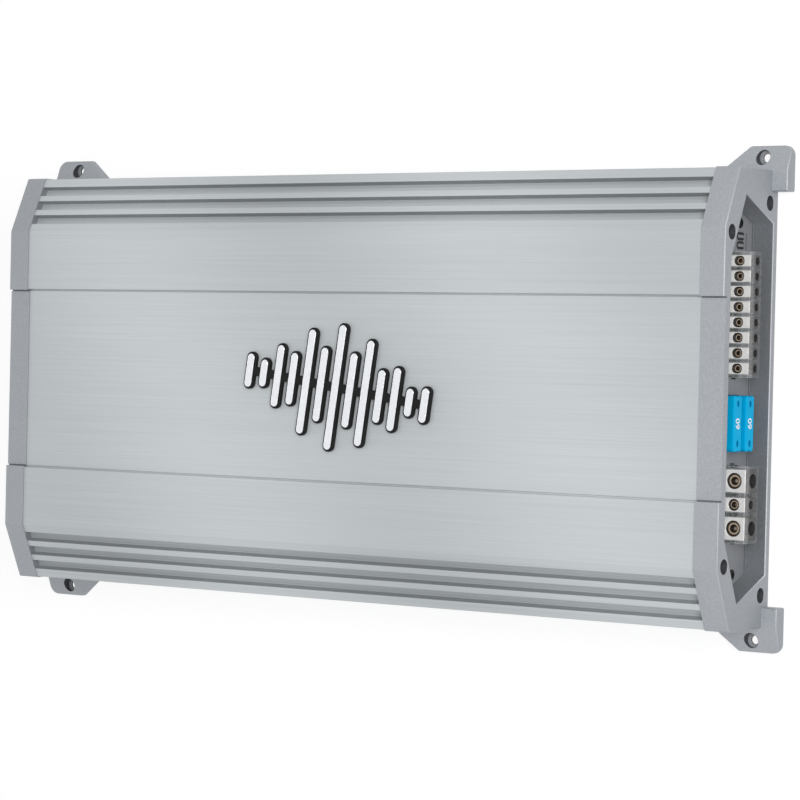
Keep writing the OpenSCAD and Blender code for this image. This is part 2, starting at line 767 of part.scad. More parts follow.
module heatsink() color("silver") difference() {
    along_x(-sink_half, sink_half) sink_section();
    at_cover_screws() rod_z(0, 0, 0, cover_z + cover_screw_l + turn_gap, cover_screw_d + 2 * turn_gap);
    at_board_screws() rod_z(0, 0, shelf_z - shelf_t - cut, shelf_z + cut, board_screw_d + 2 * turn_gap);
    at_clamp_screws() rod_y(0, clamp_through + clamp_reach + turn_gap, clamp_screw_d + 2 * turn_gap);
}

// The countersunk head and the shank of a cover screw, larger all round by g
module cover_screw(g) {
    cone_h = (cover_head_d - cover_screw_d) / 2;
    translate([0, 0, cover_z]) cylinder(d1 = cover_head_d + 2 * g, d2 = cover_screw_d + 2 * g, h = cone_h);
    rod_z(0, 0, cover_z, cover_z + cover_screw_l, cover_screw_d + 2 * g);
}

module bottom_cover() color("dimgray") difference() {
    slab(seat_gap - sink_half, sink_half - seat_gap, 0, 2 * cover_side, cover_z, ledge_z);
    at_cover_screws() cover_screw(turn_gap);
}

module bottom_cover_screws() color("gray") at_cover_screws() cover_screw(0);

// ---- End caps ----

// A foot with its root on the corner of the body, cut to slope down to its outer edge
module foot() translate([half_l, half_w, 0]) difference() {
    linear_extrude(foot_t) {
        polygon([
            [-foot_root_l, 0],
            [-foot_edge_l, foot_out_y],
            [foot_out_x - foot_r, foot_out_y],
            [foot_out_x, foot_out_y - foot_r],
            [foot_out_x, -foot_wrap],
            [-cut, -foot_wrap],
            [-cut, -cut],
            [-cap_l, -cut],
            [-cap_l, 0]]);
        translate([foot_out_x - foot_r, foot_out_y - foot_r]) circle(r = foot_r);
    }
    translate([-foot_root_l - cut, 0, foot_t]) rotate([atan2(foot_tip_t - foot_t, foot_out_y), 0, 0])
        cube([foot_root_l + foot_out_x + 2 * cut, 2 * foot_out_y, foot_t]);
    rod_z(-bolt_in_x, bolt_out_y, -cut, foot_t + cut, bolt_d);
    rod_z(-bolt_in_x, bolt_out_y, bolt_seat, foot_t + cut, bolt_head_d);
}

module end_cap() color("darkgray") difference() {
    union() {
        along_x(sink_half, half_l) polygon(body_outline);
        on_both_sides() foot();
    }
    along_x(sink_half - cut, half_l + cut) polygon(opening_outline);
    along_x(sink_half - cut, panel_x) polygon(grown(opening_outline, panel_lap + seat_gap));
    on_both_sides() for (p = screw_spots) {
        rod_x(sink_half - cut, half_l + cut, p[0], p[1], channel_d);
        rod_x(head_x, half_l + cut, p[0], p[1], head_hole_d);
    }
}

module end_cap_power() end_cap();
module end_cap_signal() at_signal_end() end_cap();

module end_cap_screws() color([0.1, 0.1, 0.1]) at_both_ends() on_both_sides() for (p = screw_spots)
    difference() {
        union() {
            rod_x(head_x, head_x + cap_head_h, p[0], p[1], cap_head_d);
            rod_x(sink_half - cap_screw_reach, head_x, p[0], p[1], cap_screw_d);
        }
        translate([head_x + cap_head_h - cap_hex_l, p[0], p[1]]) rotate([0, 90, 0])
            cylinder(d = cap_hex_d, h = cap_head_h, $fn = 6);
    }

// ---- Connector panels ----

module at_panel_screws() on_both_sides() translate([0, panel_screw_y, panel_screw_z]) children();

module panel_blank() difference() {
    along_x(sink_half, panel_x) polygon(grown(opening_outline, panel_lap));
    at_panel_screws() panel_hole(0, 0, panel_screw_d + 2 * turn_gap);
}

module panel_hole(y, z, d) rod_x(sink_half - cut, panel_x + cut, y, z, d);

// A cut-out with the seat clearance round what fills it
module panel_window(y, w, z1, z2)
    slab(sink_half - cut, panel_x + cut, y, w + 2 * seat_gap, z1 - seat_gap, z2 + seat_gap);

module end_panel_power() color("slategray") difference() {
    panel_blank();
    panel_window(spk_y, spk_span, board_top, term_top + term_lip);
    panel_window(pwr_y, pwr_span, pwr_bottom - pwr_floor, term_top + term_lip);
    panel_window(fuse_y, fuse_w, fuse_zs[0] - fuse_t / 2, fuse_zs[1] + fuse_t / 2);
}

module end_panel_signal() color("slategray") at_signal_end() difference() {
    panel_blank();
    for (i = [0:rca_columns - 1], z = rca_zs) panel_hole(rca_at(i), z, rca_root_d + 2 * seat_gap);
    for (i = [0:pot_n - 1]) panel_hole(pot_at(i), control_z, pot_d + 2 * seat_gap);
    for (i = [0:switch_n - 1])
        panel_window(switch_at(i), tip_slot_w, control_z - tip_w / 2, control_z + tip_w / 2);
    panel_window(jack_y, jack_mouth_w, jack_z - jack_mouth_h / 2, jack_z + jack_mouth_h / 2);
    at_lights() panel_hole(0, 0, led_d + 2 * turn_gap);
}

module panel_screws() color([0.1, 0.1, 0.1]) at_both_ends() at_panel_screws() difference() {
    union() {
        rod_x(panel_x, panel_x + panel_head_h, 0, 0, panel_head_d);
        rod_x(sink_half - bracket_t, panel_x, 0, 0, panel_screw_d);
    }
    for (a = [0, 90]) rotate([a, 0, 0])
        slab(panel_x + panel_head_h - cross_depth, panel_x + panel_head_h + cut, 0, cross_l,
             -cross_w / 2, cross_w / 2);
}

module panel_brackets() color("gainsboro") at_both_ends() on_both_sides() difference() {
    union() {
        slab(sink_half - bracket_t, sink_half, panel_screw_y, bracket_w, board_top, board_top + bracket_h);
        slab(sink_half - bracket_l, sink_half, panel_screw_y, bracket_w, board_top, board_top + bracket_t);
    }
    rod_x(sink_half - bracket_t - cut, sink_half + cut, panel_screw_y, panel_screw_z,
          panel_screw_d + 2 * turn_gap);
}

// ---- Badge: a row of bars like a sound level display ----

function bar_length(i) = badge_h * (i % 2 == 0 ? 1 : badge_dip)
    * (badge_low + (1 - badge_low) * pow(cos(180 * (i - badge_mid) / badge_n), 2));

module badge_layer(z1, z2) translate([0, 0, z1]) rotate(badge_tilt) linear_extrude(z2 - z1) children();

// A bar with round ends, l long from end to end
module badge_bar(w, l) {
    square([w, l - w], center = true);
    for (s = [-1, 1]) translate([0, s * (l - w) / 2]) circle(d = w);
}

module badge_bars(edge) for (i = [0:badge_n - 1])
    translate([(i - badge_mid) * badge_pitch, 0])
        badge_bar(badge_bar_w + 2 * edge, bar_length(i) + 2 * edge);

module badge_base() color([0.1, 0.1, 0.1]) badge_layer(sink_band, badge_z) {
    badge_bars(badge_edge);
    square([2 * badge_mid * badge_pitch, badge_rail_w], center = true);
}

module badge_faces() color("white") badge_layer(badge_z, badge_z + badge_face_t) badge_bars(0);

// ---- Circuit board ----

module at_board_screws() for (i = [-2:2], s = [-1, 1])
    translate([i * board_screw_pitch, s * board_screw_y, 0]) children();

module main_board() color("darkgreen") difference() {
    slab(-board_end, board_end, 0, 2 * board_side, board_z, board_top);
    slab(holder_back - seat_gap, board_end + cut, fuse_y, holder_w + 2 * seat_gap,
         board_z - cut, board_top + cut);
    at_board_screws() rod_z(0, 0, board_z - cut, board_top + cut, board_screw_d + 2 * turn_gap);
}

module board_screws() color("gainsboro") at_board_screws() {
    rod_z(0, 0, board_top, board_top + board_head_h, board_head_d);
    rod_z(0, 0, shelf_z - board_screw_reach, board_top, board_screw_d);
}

// ---- Terminals ----

function spk_at(i) = spk_y + ((spk_n - 1) / 2 - i) * spk_pitch;
function pwr_at(i) = pwr_y + (1 - i) * pwr_pitch;

// The wire holes of the power blocks are all level with the top of the largest
function pwr_wire_z(i) = pwr_bottom + wire_floor + pwr_wire_d - pwr_wires[i] / 2;

// The space for a block, open at the top and the front
module block_pocket(x, y, w, z) slab(x, term_face + cut, y, w + 2 * term_gap, z, term_top + 2 * cut);

// A wire hole from the front, and a screw hole drilled from the top down through it
module wire_way(y, z, wire_d, screw_d) {
    rod_x(term_screw_x - screw_d / 2 - wire_past, term_face + cut, y, z, wire_d);
    rod_z(term_screw_x, y, z - wire_d / 2 - drill_mark, term_top + cut, screw_d + 2 * turn_gap);
}

// A headless screw with a hexagon socket
module clamp_set_screw(y, sink, d, l, hex) color("tan") difference() {
    rod_z(term_screw_x, y, term_top - sink - l, term_top - sink, d);
    translate([term_screw_x, y, term_top - sink - hex_depth]) cylinder(d = hex, h = l, $fn = 6);
}

module speaker_housing() color("lightsteelblue") difference() {
    slab(term_back, term_face, spk_y, spk_span, board_top, term_top + term_lip);
    for (i = [0:spk_n - 1]) block_pocket(term_back + term_wall, spk_at(i), spk_w, spk_bottom);
}

module speaker_blocks() color("lightgray") for (i = [0:spk_n - 1]) difference() {
    slab(term_back + term_wall, term_face, spk_at(i), spk_w, spk_bottom, term_top);
    wire_way(spk_at(i), spk_bottom + wire_floor + spk_wire_d / 2, spk_wire_d, spk_screw_d);
}

module power_housing() color("lightsteelblue") difference() {
    union() {
        slab(term_back, term_face, pwr_y, pwr_span, board_top, term_top + term_lip);
        slab(board_end + seat_gap, term_face, pwr_y, pwr_span, pwr_bottom - pwr_floor, board_top);
    }
    for (i = [0:2]) {
        block_pocket(sink_half, pwr_at(i), pwr_widths[i], pwr_bottom);
        block_pocket(term_back + term_wall, pwr_at(i), pwr_widths[i], tail_z);
    }
}

module power_blocks() color("lightgray") for (i = [0:2]) difference() {
    union() {
        slab(sink_half, term_face, pwr_at(i), pwr_widths[i], pwr_bottom, term_top);
        slab(term_back + term_wall, sink_half, pwr_at(i), pwr_widths[i], tail_z, tail_z + tail_h);
    }
    wire_way(pwr_at(i), pwr_wire_z(i), pwr_wires[i], pwr_screws[i]);
}

module speaker_screw(i) clamp_set_screw(spk_at(i), spk_sink, spk_screw_d, spk_screw_l, spk_hex_d);
module power_screw(i) clamp_set_screw(pwr_at(i), pwr_sink, pwr_screws[i], pwr_screw_l, pwr_hexes[i]);

// ---- Fuses ----

// Children at the middle of each blade's place, in Y and Z
module at_blades(zs) for (z = zs, s = [-1, 1]) translate([0, fuse_y + s * blade_pitch / 2, z]) children();

module fuse_holder() color([0.15, 0.15, 0.15]) difference() {
    union() {
        slab(holder_back, sink_half, fuse_y, holder_w, holder_low, holder_high);
        slab(holder_back, sink_half, fuse_y, holder_w + 2 * holder_ear, board_top, board_top + ear_t);
    }
    for (z = fuse_zs)
        slab(fuse_back - seat_gap, sink_half + cut, fuse_y, pocket_w, z - pocket_t / 2, z + pocket_t / 2);
    at_blades(fuse_zs) slab(slot_back, sink_half, 0, slot_w, -slot_t / 2, slot_t / 2);
}

module fuse_contacts() color("khaki") at_blades(fuse_zs) for (s = [0, 1]) mirror([0, 0, s])
    slab(slot_back, fuse_back - 2 * seat_gap, 0, slot_w, slot_t / 2 - leaf_t, slot_t / 2);

module fuse_body(i) color("deepskyblue") difference() {
    slab(fuse_back, fuse_face, fuse_y, fuse_w, fuse_zs[i] - fuse_t / 2, fuse_zs[i] + fuse_t / 2);
    translate([0, fuse_y, fuse_zs[i]]) on_both_sides() {
        rod_x(fuse_face - test_hole_l, fuse_face + cut, fuse_w / 2 - test_hole_in, 0, test_hole_d);
        along_x(fuse_back - cut, fuse_face + cut) translate([fuse_w / 2, 0]) circle(r = fuse_groove, $fn = 4);
    }
}

module fuse_blades(i) color("gainsboro") at_blades([fuse_zs[i]])
    slab(blade_tip, fuse_back, 0, blade_w, -blade_t / 2, blade_t / 2);

// ---- Signal end ----

function rca_at(i) = rca_y + ((rca_columns - 1) / 2 - i) * rca_pitch;
function pot_at(i) = pot_y + ((pot_n - 1) / 2 - i) * pot_pitch;
function switch_at(i) = switch_y + ((switch_n - 1) / 2 - i) * switch_pitch;

module socket_housing() color([0.1, 0.1, 0.1]) at_signal_end() difference() {
    slab(sink_half - rca_depth, sink_half, rca_y, rca_l, board_top, rca_zs[1] + rca_pitch / 2);
    for (i = [0:rca_columns - 1], z = rca_zs)
        rod_x(rca_seat, sink_half + cut, rca_at(i), z, rca_root_d + 2 * turn_gap);
}

module socket_sleeves() color("gold") at_signal_end() for (i = [0:rca_columns - 1], z = rca_zs)
    difference() {
        union() {
            rod_x(rca_seat, rca_end, rca_at(i), z, rca_d);
            rod_x(rca_seat, panel_x, rca_at(i), z, rca_root_d);
        }
        rod_x(rca_seat - cut, rca_end + cut, rca_at(i), z, rca_d - 2 * rca_wall);
    }

// The plastic inside one row of sleeves, with a hole for the plug's pin
module socket_cores(z) at_signal_end() for (i = [0:rca_columns - 1]) difference() {
    rod_x(rca_seat, rca_end - rca_wall, rca_at(i), z, rca_d - 2 * (rca_wall + turn_gap));
    rod_x(sink_half, rca_end, rca_at(i), z, rca_core_d);
}

module socket_cores_white() color("white") socket_cores(rca_zs[1]);
module socket_cores_red() color("firebrick") socket_cores(rca_zs[0]);

module level_control_bodies() color("steelblue") at_signal_end() for (i = [0:pot_n - 1]) difference() {
    slab(control_back_x, sink_half, pot_at(i), pot_w, board_top, control_z + pot_w / 2);
    rod_x(pot_seat, sink_half + cut, pot_at(i), control_z, pot_d + 2 * turn_gap);
}

module level_shaft(i) color([0.2, 0.2, 0.2]) at_signal_end() difference() {
    rod_x(pot_seat + turn_gap, pot_end, pot_at(i), control_z, pot_d);
    slab(pot_end - pot_slot_depth, pot_end + cut, pot_at(i), pot_d - 2 * pot_slot_w,
         control_z - pot_slot_w / 2, control_z + pot_slot_w / 2);
}

module switch_bodies() color([0.2, 0.2, 0.2]) at_signal_end() for (i = [0:switch_n - 1]) difference() {
    slab(control_back_x, sink_half, switch_at(i), switch_w, board_top, board_top + switch_h);
    slab(sink_half - slide_l - turn_gap, sink_half + cut, switch_at(i), slide_slot_w,
         control_z - slide_h / 2 - turn_gap, control_z + slide_h / 2 + turn_gap);
}

// A selector's slide rests at one end of its travel
module switch_slide(i) color("white") at_signal_end()
    translate([0, switch_at(i) - switch_travel / 2, control_z]) {
        slab(sink_half - slide_l, sink_half - turn_gap, 0, slide_w, -slide_h / 2, slide_h / 2);
        slab(sink_half - turn_gap, panel_x + tip_out, 0, tip_w, -tip_w / 2, tip_w / 2);
    }

module remote_jack() color([0.1, 0.1, 0.1]) at_signal_end() difference() {
    slab(jack_back_x, sink_half, jack_y, jack_w, board_top, board_top + jack_h);
    slab(sink_half - jack_mouth_l, sink_half + cut, jack_y, jack_mouth_w,
         jack_z - jack_mouth_h / 2, jack_z + jack_mouth_h / 2);
}

// The lights lie side by side above the jack, and their leads run down behind it
module at_lights() for (m = [-1, 1]) translate([0, jack_y + m * led_pitch / 2, led_z]) children();

module status_lights() color("lightblue") at_signal_end() at_lights() {
    rod_x(sink_half - led_flange, sink_half, 0, 0, led_d + 2 * led_flange);
    rod_x(sink_half, panel_x, 0, 0, led_d);
    translate([panel_x, 0, 0]) sphere(d = led_d);
    for (s = [-1, 1]) translate([0, s * led_d / 3, 0]) {
        slab(lead_x, sink_half - led_flange, 0, lead_w, -lead_w / 2, lead_w / 2);
        slab(lead_x, lead_x + lead_w, 0, lead_w, board_top - led_z, lead_w / 2);
    }
}

// ---- Power stage ----

module at_groups() for (x = group_xs) on_both_sides() translate([x, 0, 0]) children();

module at_transistors() at_groups() for (i = [0:tr_n - 1])
    translate([(i - (tr_n - 1) / 2) * tr_pitch, 0, 0]) children();

// Children at the outer face of a clamp bar, between two transistors, with +Y into the wall
module at_clamp_screws() at_groups() for (i = [0:tr_n - 2])
    translate([(i - (tr_n - 2) / 2) * tr_pitch, bar_y - bar_t, bar_z]) children();

// A plate with its length along X, between y1 and y2
module upright(l, y1, y2, z1, z2) translate([-l / 2, y1, z1]) cube([l, y2 - y1, z2 - z1]);

module transistor_bodies() color([0.1, 0.1, 0.1]) at_transistors()
    upright(tr_w, bar_y, tab_face_y, tr_z, tr_z + tr_h);

module transistor_tabs() color("lightgray") at_transistors() difference() {
    union() {
        upright(tr_w, tab_face_y, strip_y, tr_z, tab_top);
        for (i = [-1:1]) translate([i * leg_pitch, 0, 0])
            upright(leg_w, tab_face_y, tab_face_y + leg_w, board_top, tr_z);
    }
    translate([0, 0, tab_top - tab_hole_down]) rod_y(tab_face_y - cut, strip_y + cut, tab_hole_d);
}

module insulating_strips() color("lavender") difference() {
    at_groups() upright(group_l, strip_y, inner_side, tr_z - strip_margin, tab_top + strip_margin);
    at_clamp_screws() rod_y(0, clamp_through + cut, clamp_screw_d + 2 * turn_gap);
}

module clamp_bars() color("gray") difference() {
    at_groups() upright(group_l, bar_y - bar_t, bar_y, bar_z - bar_h / 2, bar_z + bar_h / 2);
    at_clamp_screws() rod_y(-cut, bar_t + cut, clamp_screw_d + 2 * turn_gap);
}

module clamp_screws() color([0.2, 0.2, 0.2]) at_clamp_screws() {
    rod_y(-clamp_head_h, 0, clamp_head_d);
    rod_y(0, clamp_through + clamp_reach, clamp_screw_d);
}

// A ring of the place's size on the board, or what is left of it at a depth of inset all round
module ring(place, inset) {
    d = coil_d * place[2] - 2 * inset;
    h = coil_h * place[2] - 2 * inset;
    translate([place[0], place[1], board_top + inset]) difference() {
        cylinder(d = d, h = h);
        rod_z(0, 0, -cut, h + cut, coil_hole_d * place[2] + 2 * inset);
    }
}

module transformer_cores() color("darkslategray") for (p = coil_places) ring(p, wire_t * p[2]);

module transformer_windings() color("peru") for (p = coil_places) difference() {
    ring(p, 0);
    ring(p, wire_t * p[2]);
}

module capacitors() color("midnightblue") {
    for (p = can_places) rod_z(p[0], p[1], board_top, can_top, can_d);
    for (p = small_can_places) rod_z(p[0], p[1], board_top, board_top + small_can_h, small_can_d);
}

module driver_boards() color("darkgreen") on_both_sides()
    slab(driver_x, driver_x + driver_l, driver_y, driver_t, board_top, board_top + driver_h);

module driver_chips() color([0.1, 0.1, 0.1]) on_both_sides() for (i = [-1.5:1:1.5])
    translate([driver_x + driver_l / 2 + i * chip_pitch, driver_y + driver_t / 2, board_top + chip_up])
        upright(chip_l, 0, chip_t, 0, chip_h);

module film_capacitors() color("firebrick") on_both_sides() for (i = [0:film_n - 1])
    slab(film_x + i * film_pitch, film_x + i * film_pitch + film_l, film_y, film_t,
         board_top, board_top + film_h);

// ---- What is drawn ----

heatsink();
bottom_cover();
bottom_cover_screws();
end_cap_power();
end_cap_signal();
end_cap_screws();
end_panel_power();
end_panel_signal();
panel_screws();
panel_brackets();
badge_base();
badge_faces();
main_board();
board_screws();
transformer_cores();
transformer_windings();
capacitors();
transistor_bodies();
transistor_tabs();
insulating_strips();
clamp_bars();
clamp_screws();
driver_boards();
driver_chips();
film_capacitors();
socket_housing();
socket_sleeves();
socket_cores_white();
socket_cores_red();
level_control_bodies();
switch_bodies();
remote_jack();
status_lights();
speaker_housing();
speaker_blocks();
power_housing();
power_blocks();
fuse_holder();
fuse_contacts();
for (i = [1:spk_n]) speaker_screw(i - 1);
for (i = [1:3]) power_screw(i - 1);
for (i = [1:2]) fuse_body(i - 1);
for (i = [1:2]) fuse_blades(i - 1);
for (i = [1:pot_n]) level_shaft(i - 1);
for (i = [1:switch_n]) switch_slide(i - 1);
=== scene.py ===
"""Looks of a four-channel car amplifier: finishes, rounded edges and small pieces on its frame."""

import math

import bmesh
import bpy
from mathutils import Matrix, Vector


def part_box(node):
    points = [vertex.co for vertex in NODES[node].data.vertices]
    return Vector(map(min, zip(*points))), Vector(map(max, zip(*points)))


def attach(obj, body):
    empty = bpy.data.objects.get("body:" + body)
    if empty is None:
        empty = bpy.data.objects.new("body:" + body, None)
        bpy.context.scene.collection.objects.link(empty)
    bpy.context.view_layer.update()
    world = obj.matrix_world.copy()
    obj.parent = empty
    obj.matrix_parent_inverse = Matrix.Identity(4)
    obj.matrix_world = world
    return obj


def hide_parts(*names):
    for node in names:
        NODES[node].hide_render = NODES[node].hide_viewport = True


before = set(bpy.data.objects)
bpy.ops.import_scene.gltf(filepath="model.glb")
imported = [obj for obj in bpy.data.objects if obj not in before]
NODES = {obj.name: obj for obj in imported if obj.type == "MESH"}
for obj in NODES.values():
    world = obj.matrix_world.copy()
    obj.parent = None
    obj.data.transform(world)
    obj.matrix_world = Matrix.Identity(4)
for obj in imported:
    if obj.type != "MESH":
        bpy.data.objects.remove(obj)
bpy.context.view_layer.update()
WHOLE = "amplifier"

# Sizes are in metres, in the part's own frame: X runs along the amplifier from the signal end to
# the power end, Y across it, Z up out of its wide face.

# The ends of each shoulder's slope, as distance from the middle and height, and how far it leans
SHOULDER_TOP, SHOULDER_FOOT = (0.0880, 0.0592), (0.1200, 0.0447)
SHOULDER_LEAN = math.atan2(SHOULDER_TOP[1] - SHOULDER_FOOT[1], SHOULDER_FOOT[0] - SHOULDER_TOP[0])
# Up the slope, from its foot to the middle of the first groove, and from one groove to the next
FIRST_GROOVE, GROOVE_PITCH = 0.0082, 0.0094

# The numbers in the names of what stands in rows
SPEAKER_TERMINALS, POWER_TERMINALS = range(1, 9), range(1, 4)
FUSES, LEVELS, SWITCHES = range(1, 3), range(1, 5), range(1, 3)


# ---------------------------------------------------------------- camera

def make_camera():
    """A long lens at the photograph's viewing angle, fitted to corners picked in the photograph."""
    data = bpy.data.cameras.new("camera")
    data.sensor_width = 36.0
    data.lens = 132.81
    data.clip_start, data.clip_end = 0.05, 50.0
    cam = bpy.data.objects.new("camera", data)
    right = (0.828941, 0.023497, -0.558842)
    up = (-0.027782, 0.999614, 0.000819)
    back = (0.558645, 0.014846, 0.829274)
    place = (0.94503, 0.01825, 1.3975)
    cam.matrix_world = Matrix([*zip(right, up, back, place), (0, 0, 0, 1)])
    bpy.context.scene.collection.objects.link(cam)
    bpy.context.scene.camera = cam


# ---------------------------------------------------------------- node trees

def rgb(r, g, b):
    """A colour written in sRGB steps of 0 to 255, as Blender's linear RGBA."""
    def linear(v):
        v /= 255
        return v / 12.92 if v <= 0.04045 else ((v + 0.055) / 1.055) ** 2.4
    return linear(r), linear(g), linear(b), 1.0


def scaled(colour, k):
    return tuple(min(1.0, c * k) for c in colour[:3]) + (1.0,)


def add(tree, kind, ins=None, **props):
    """A new node. Its inputs, by name or number, are linked to a socket or set to a value."""
    node = tree.nodes.new(kind)
    for key, value in props.items():
        setattr(node, key, value)
    for key, value in (ins or {}).items():
        if isinstance(value, bpy.types.NodeSocket):
            tree.links.new(value, node.inputs[key])
        else:
            node.inputs[key].default_value = value
    return node


def material(name):
    """A fresh material of that name; a plain one from the CAD frame steps aside."""
    plain = bpy.data.materials.get(name)
    if plain:
        plain.name = name + "_cad"
    fresh = bpy.data.materials.new(name)
    fresh.use_nodes = True
    return fresh.node_tree, fresh.node_tree.nodes["Principled BSDF"]


def coat(mesh, *finishes):
    """Gives the mesh these finishes and no others."""
    mesh.materials.clear()
    for finish in finishes:
        mesh.materials.append(bpy.data.materials[finish])


def maths(tree, operation, *values):
    return add(tree, "ShaderNodeMath", dict(enumerate(values)), operation=operation).outputs[0]


def object_place(tree):
    return add(tree, "ShaderNodeTexCoord").outputs["Object"]


def axes(tree, vector):
    """The vector's parts, as outputs named X, Y and Z."""
    return add(tree, "ShaderNodeSeparateXYZ", {0: vector}).outputs


def true_normal(tree):
    return add(tree, "ShaderNodeNewGeometry").outputs["True Normal"]


def spread(tree, fac, low, high, to_low=0.0, to_high=1.0):
    """to_low to to_high as fac goes from low to high, and no further on either side."""
    ins = {"Value": fac, "From Min": low, "From Max": high, "To Min": to_low, "To Max": to_high}
    return add(tree, "ShaderNodeMapRange", ins).outputs[0]


def noise(tree, scale, stretch=(1, 1, 1), detail=3.0, rough=0.55, shift=0.0):
    """Noise of `scale` cells a metre, times `stretch` by direction, spread to 0..1."""
    moved = (shift, shift * 0.7, shift * 1.3)
    ins = {"Vector": object_place(tree), "Location": moved, "Scale": stretch}
    place = add(tree, "ShaderNodeMapping", ins).outputs[0]
    ins = {"Vector": place, "Scale": scale, "Detail": detail, "Roughness": rough}
    return spread(tree, add(tree, "ShaderNodeTexNoise", ins).outputs[0], 0.3, 0.7)


def mix(tree, fac, a, b, blend="MIX"):
    ins = {0: fac, 6: a, 7: b}
    return add(tree, "ShaderNodeMix", ins, data_type="RGBA", blend_type=blend).outputs[2]


def multiply(tree, colour, fac, low, high):
    """colour times a number between low and high, driven by fac."""
    level = spread(tree, fac, 0.0, 1.0, low, high)
    grey = add(tree, "ShaderNodeCombineColor", {0: level, 1: level, 2: level}).outputs[0]
    return mix(tree, 1.0, colour, grey, "MULTIPLY")


def bump(tree, height, depth, under=None):
    """A bumped normal, laid over the one `under` it if there is one."""
    ins = {"Height": height, "Distance": depth}
    if under is not None:
        ins["Normal"] = under
    return add(tree, "ShaderNodeBump", ins).outputs[0]


def edges(tree, radius):
    """0 on flat faces, 1 along sharp edges: how far the rounded normal leans from the true one."""
    soft = add(tree, "ShaderNodeBevel", {"Radius": radius}, samples=4).outputs[0]
    true = add(tree, "ShaderNodeNewGeometry").outputs["Normal"]
    dot = add(tree, "ShaderNodeVectorMath", {0: soft, 1: true}, operation="DOT_PRODUCT")
    return spread(tree, dot.outputs["Value"], 1.0, 0.8)


def feed(tree, shader, colour, roughness, normal):
    """Links what every finish varies over its surface."""
    for name, socket in (("Base Color", colour), ("Roughness", roughness), ("Normal", normal)):
        tree.links.new(socket, shader.inputs[name])


# ---------------------------------------------------------------- finishes

SILVER = rgb(209, 214, 216)
CAST = rgb(172, 176, 181)
CAST_EDGE = rgb(170, 173, 177)
# Painted shade for the walls in a cap's opening and its steps
CAST_RECESS_SHADE = rgb(131, 134, 138)
# Painted shade for the walls of a cap's holes
CAST_HOLE_SHADE = rgb(86, 88, 92)

# Where one tone passes into another: distances from the middle at the centre band's edges, heights
# from the shoulder grooves to the side grooves, X from the signal end to the power end, over which
# painted shade fades, heights up the terminals, where painted shade deepens lower down, and heights
# at the terminals' milled tops, which carry a painted highlight
BAND_EDGE = (0.0524, 0.0530)
SHOULDER_TO_SIDE = (0.0428, 0.0412)
SIGNAL_TO_POWER = (-0.2, 0.2)
UP_TERMINALS, PAINTED_HIGHLIGHT_TOP = (0.0222, 0.0252), (0.0268, 0.0276)


def surface(name, colour, roughness, metallic, scale, stretch=(1, 1, 1), vary=0.05, rough_vary=0.08,
            relief=0.00002, **fixed):
    """A finish with fine grain in colour, roughness and relief, over slow cloudy changes of tone.
    `fixed` sets more of the shader's sockets, named with _ for each space."""
    tree, shader = material(name)
    grain = noise(tree, scale, stretch)
    clouds = noise(tree, 14, detail=2.0, shift=3.1)
    tone = mix(tree, grain, scaled(colour, 1 - vary), scaled(colour, 1 + vary))
    tone = multiply(tree, tone, clouds, 0.97, 1.03)
    rough = spread(tree, grain, 0.0, 1.0, roughness - rough_vary, roughness + rough_vary)
    feed(tree, shader, tone, rough, bump(tree, grain, relief))
    shader.inputs["Metallic"].default_value = metallic
    for socket, value in fixed.items():
        shader.inputs[socket.replace("_", " ")].default_value = value


def painted_reflection_bands(tree):
    """Slow changes of tone along the extrusion, a painted reflection of broad lamps: two pale zones
    with a darker one between.
    """
    slant, radians_a_metre, start = 0.5, 25.1, 4.46
    at = axes(tree, object_place(tree))
    along = maths(tree, "MULTIPLY_ADD", at["Y"], slant, at["X"])
    turn = maths(tree, "MULTIPLY_ADD", along, radians_a_metre, start)
    return spread(tree, maths(tree, "SINE", turn), -1.0, 1.0)


def beside_band(tree):
    """0 on the centre band, 1 on the two fields beside it, which are a little darker."""
    out = maths(tree, "ABSOLUTE", axes(tree, object_place(tree))["Y"])
    return spread(tree, out, *BAND_EDGE)


def painted_floor_shade(tree):
    """Painted shade across a groove's floor: 0 by the outer wall of a shoulder groove, 1 by its
    inner one, 0.5 in the side grooves.
    """
    at = axes(tree, object_place(tree))
    out = maths(tree, "ABSOLUTE", at["Y"])
    inward, up = math.cos(SHOULDER_LEAN) / GROOVE_PITCH, math.sin(SHOULDER_LEAN) / GROOVE_PITCH
    start = SHOULDER_FOOT[0] * inward - SHOULDER_FOOT[1] * up - FIRST_GROOVE / GROOVE_PITCH + 0.5
    height = maths(tree, "MULTIPLY_ADD", at["Z"], up, start)
    grooves_up = maths(tree, "MULTIPLY_ADD", out, -inward, height)
    outer_wall, inner_wall = 0.2, 0.8
    across = spread(tree, maths(tree, "FRACT", grooves_up), outer_wall, inner_wall)
    on_side = spread(tree, at["Z"], *SHOULDER_TO_SIDE)
    return add(tree, "ShaderNodeMix", {0: on_side, 2: across, 3: 0.5}).outputs[0]


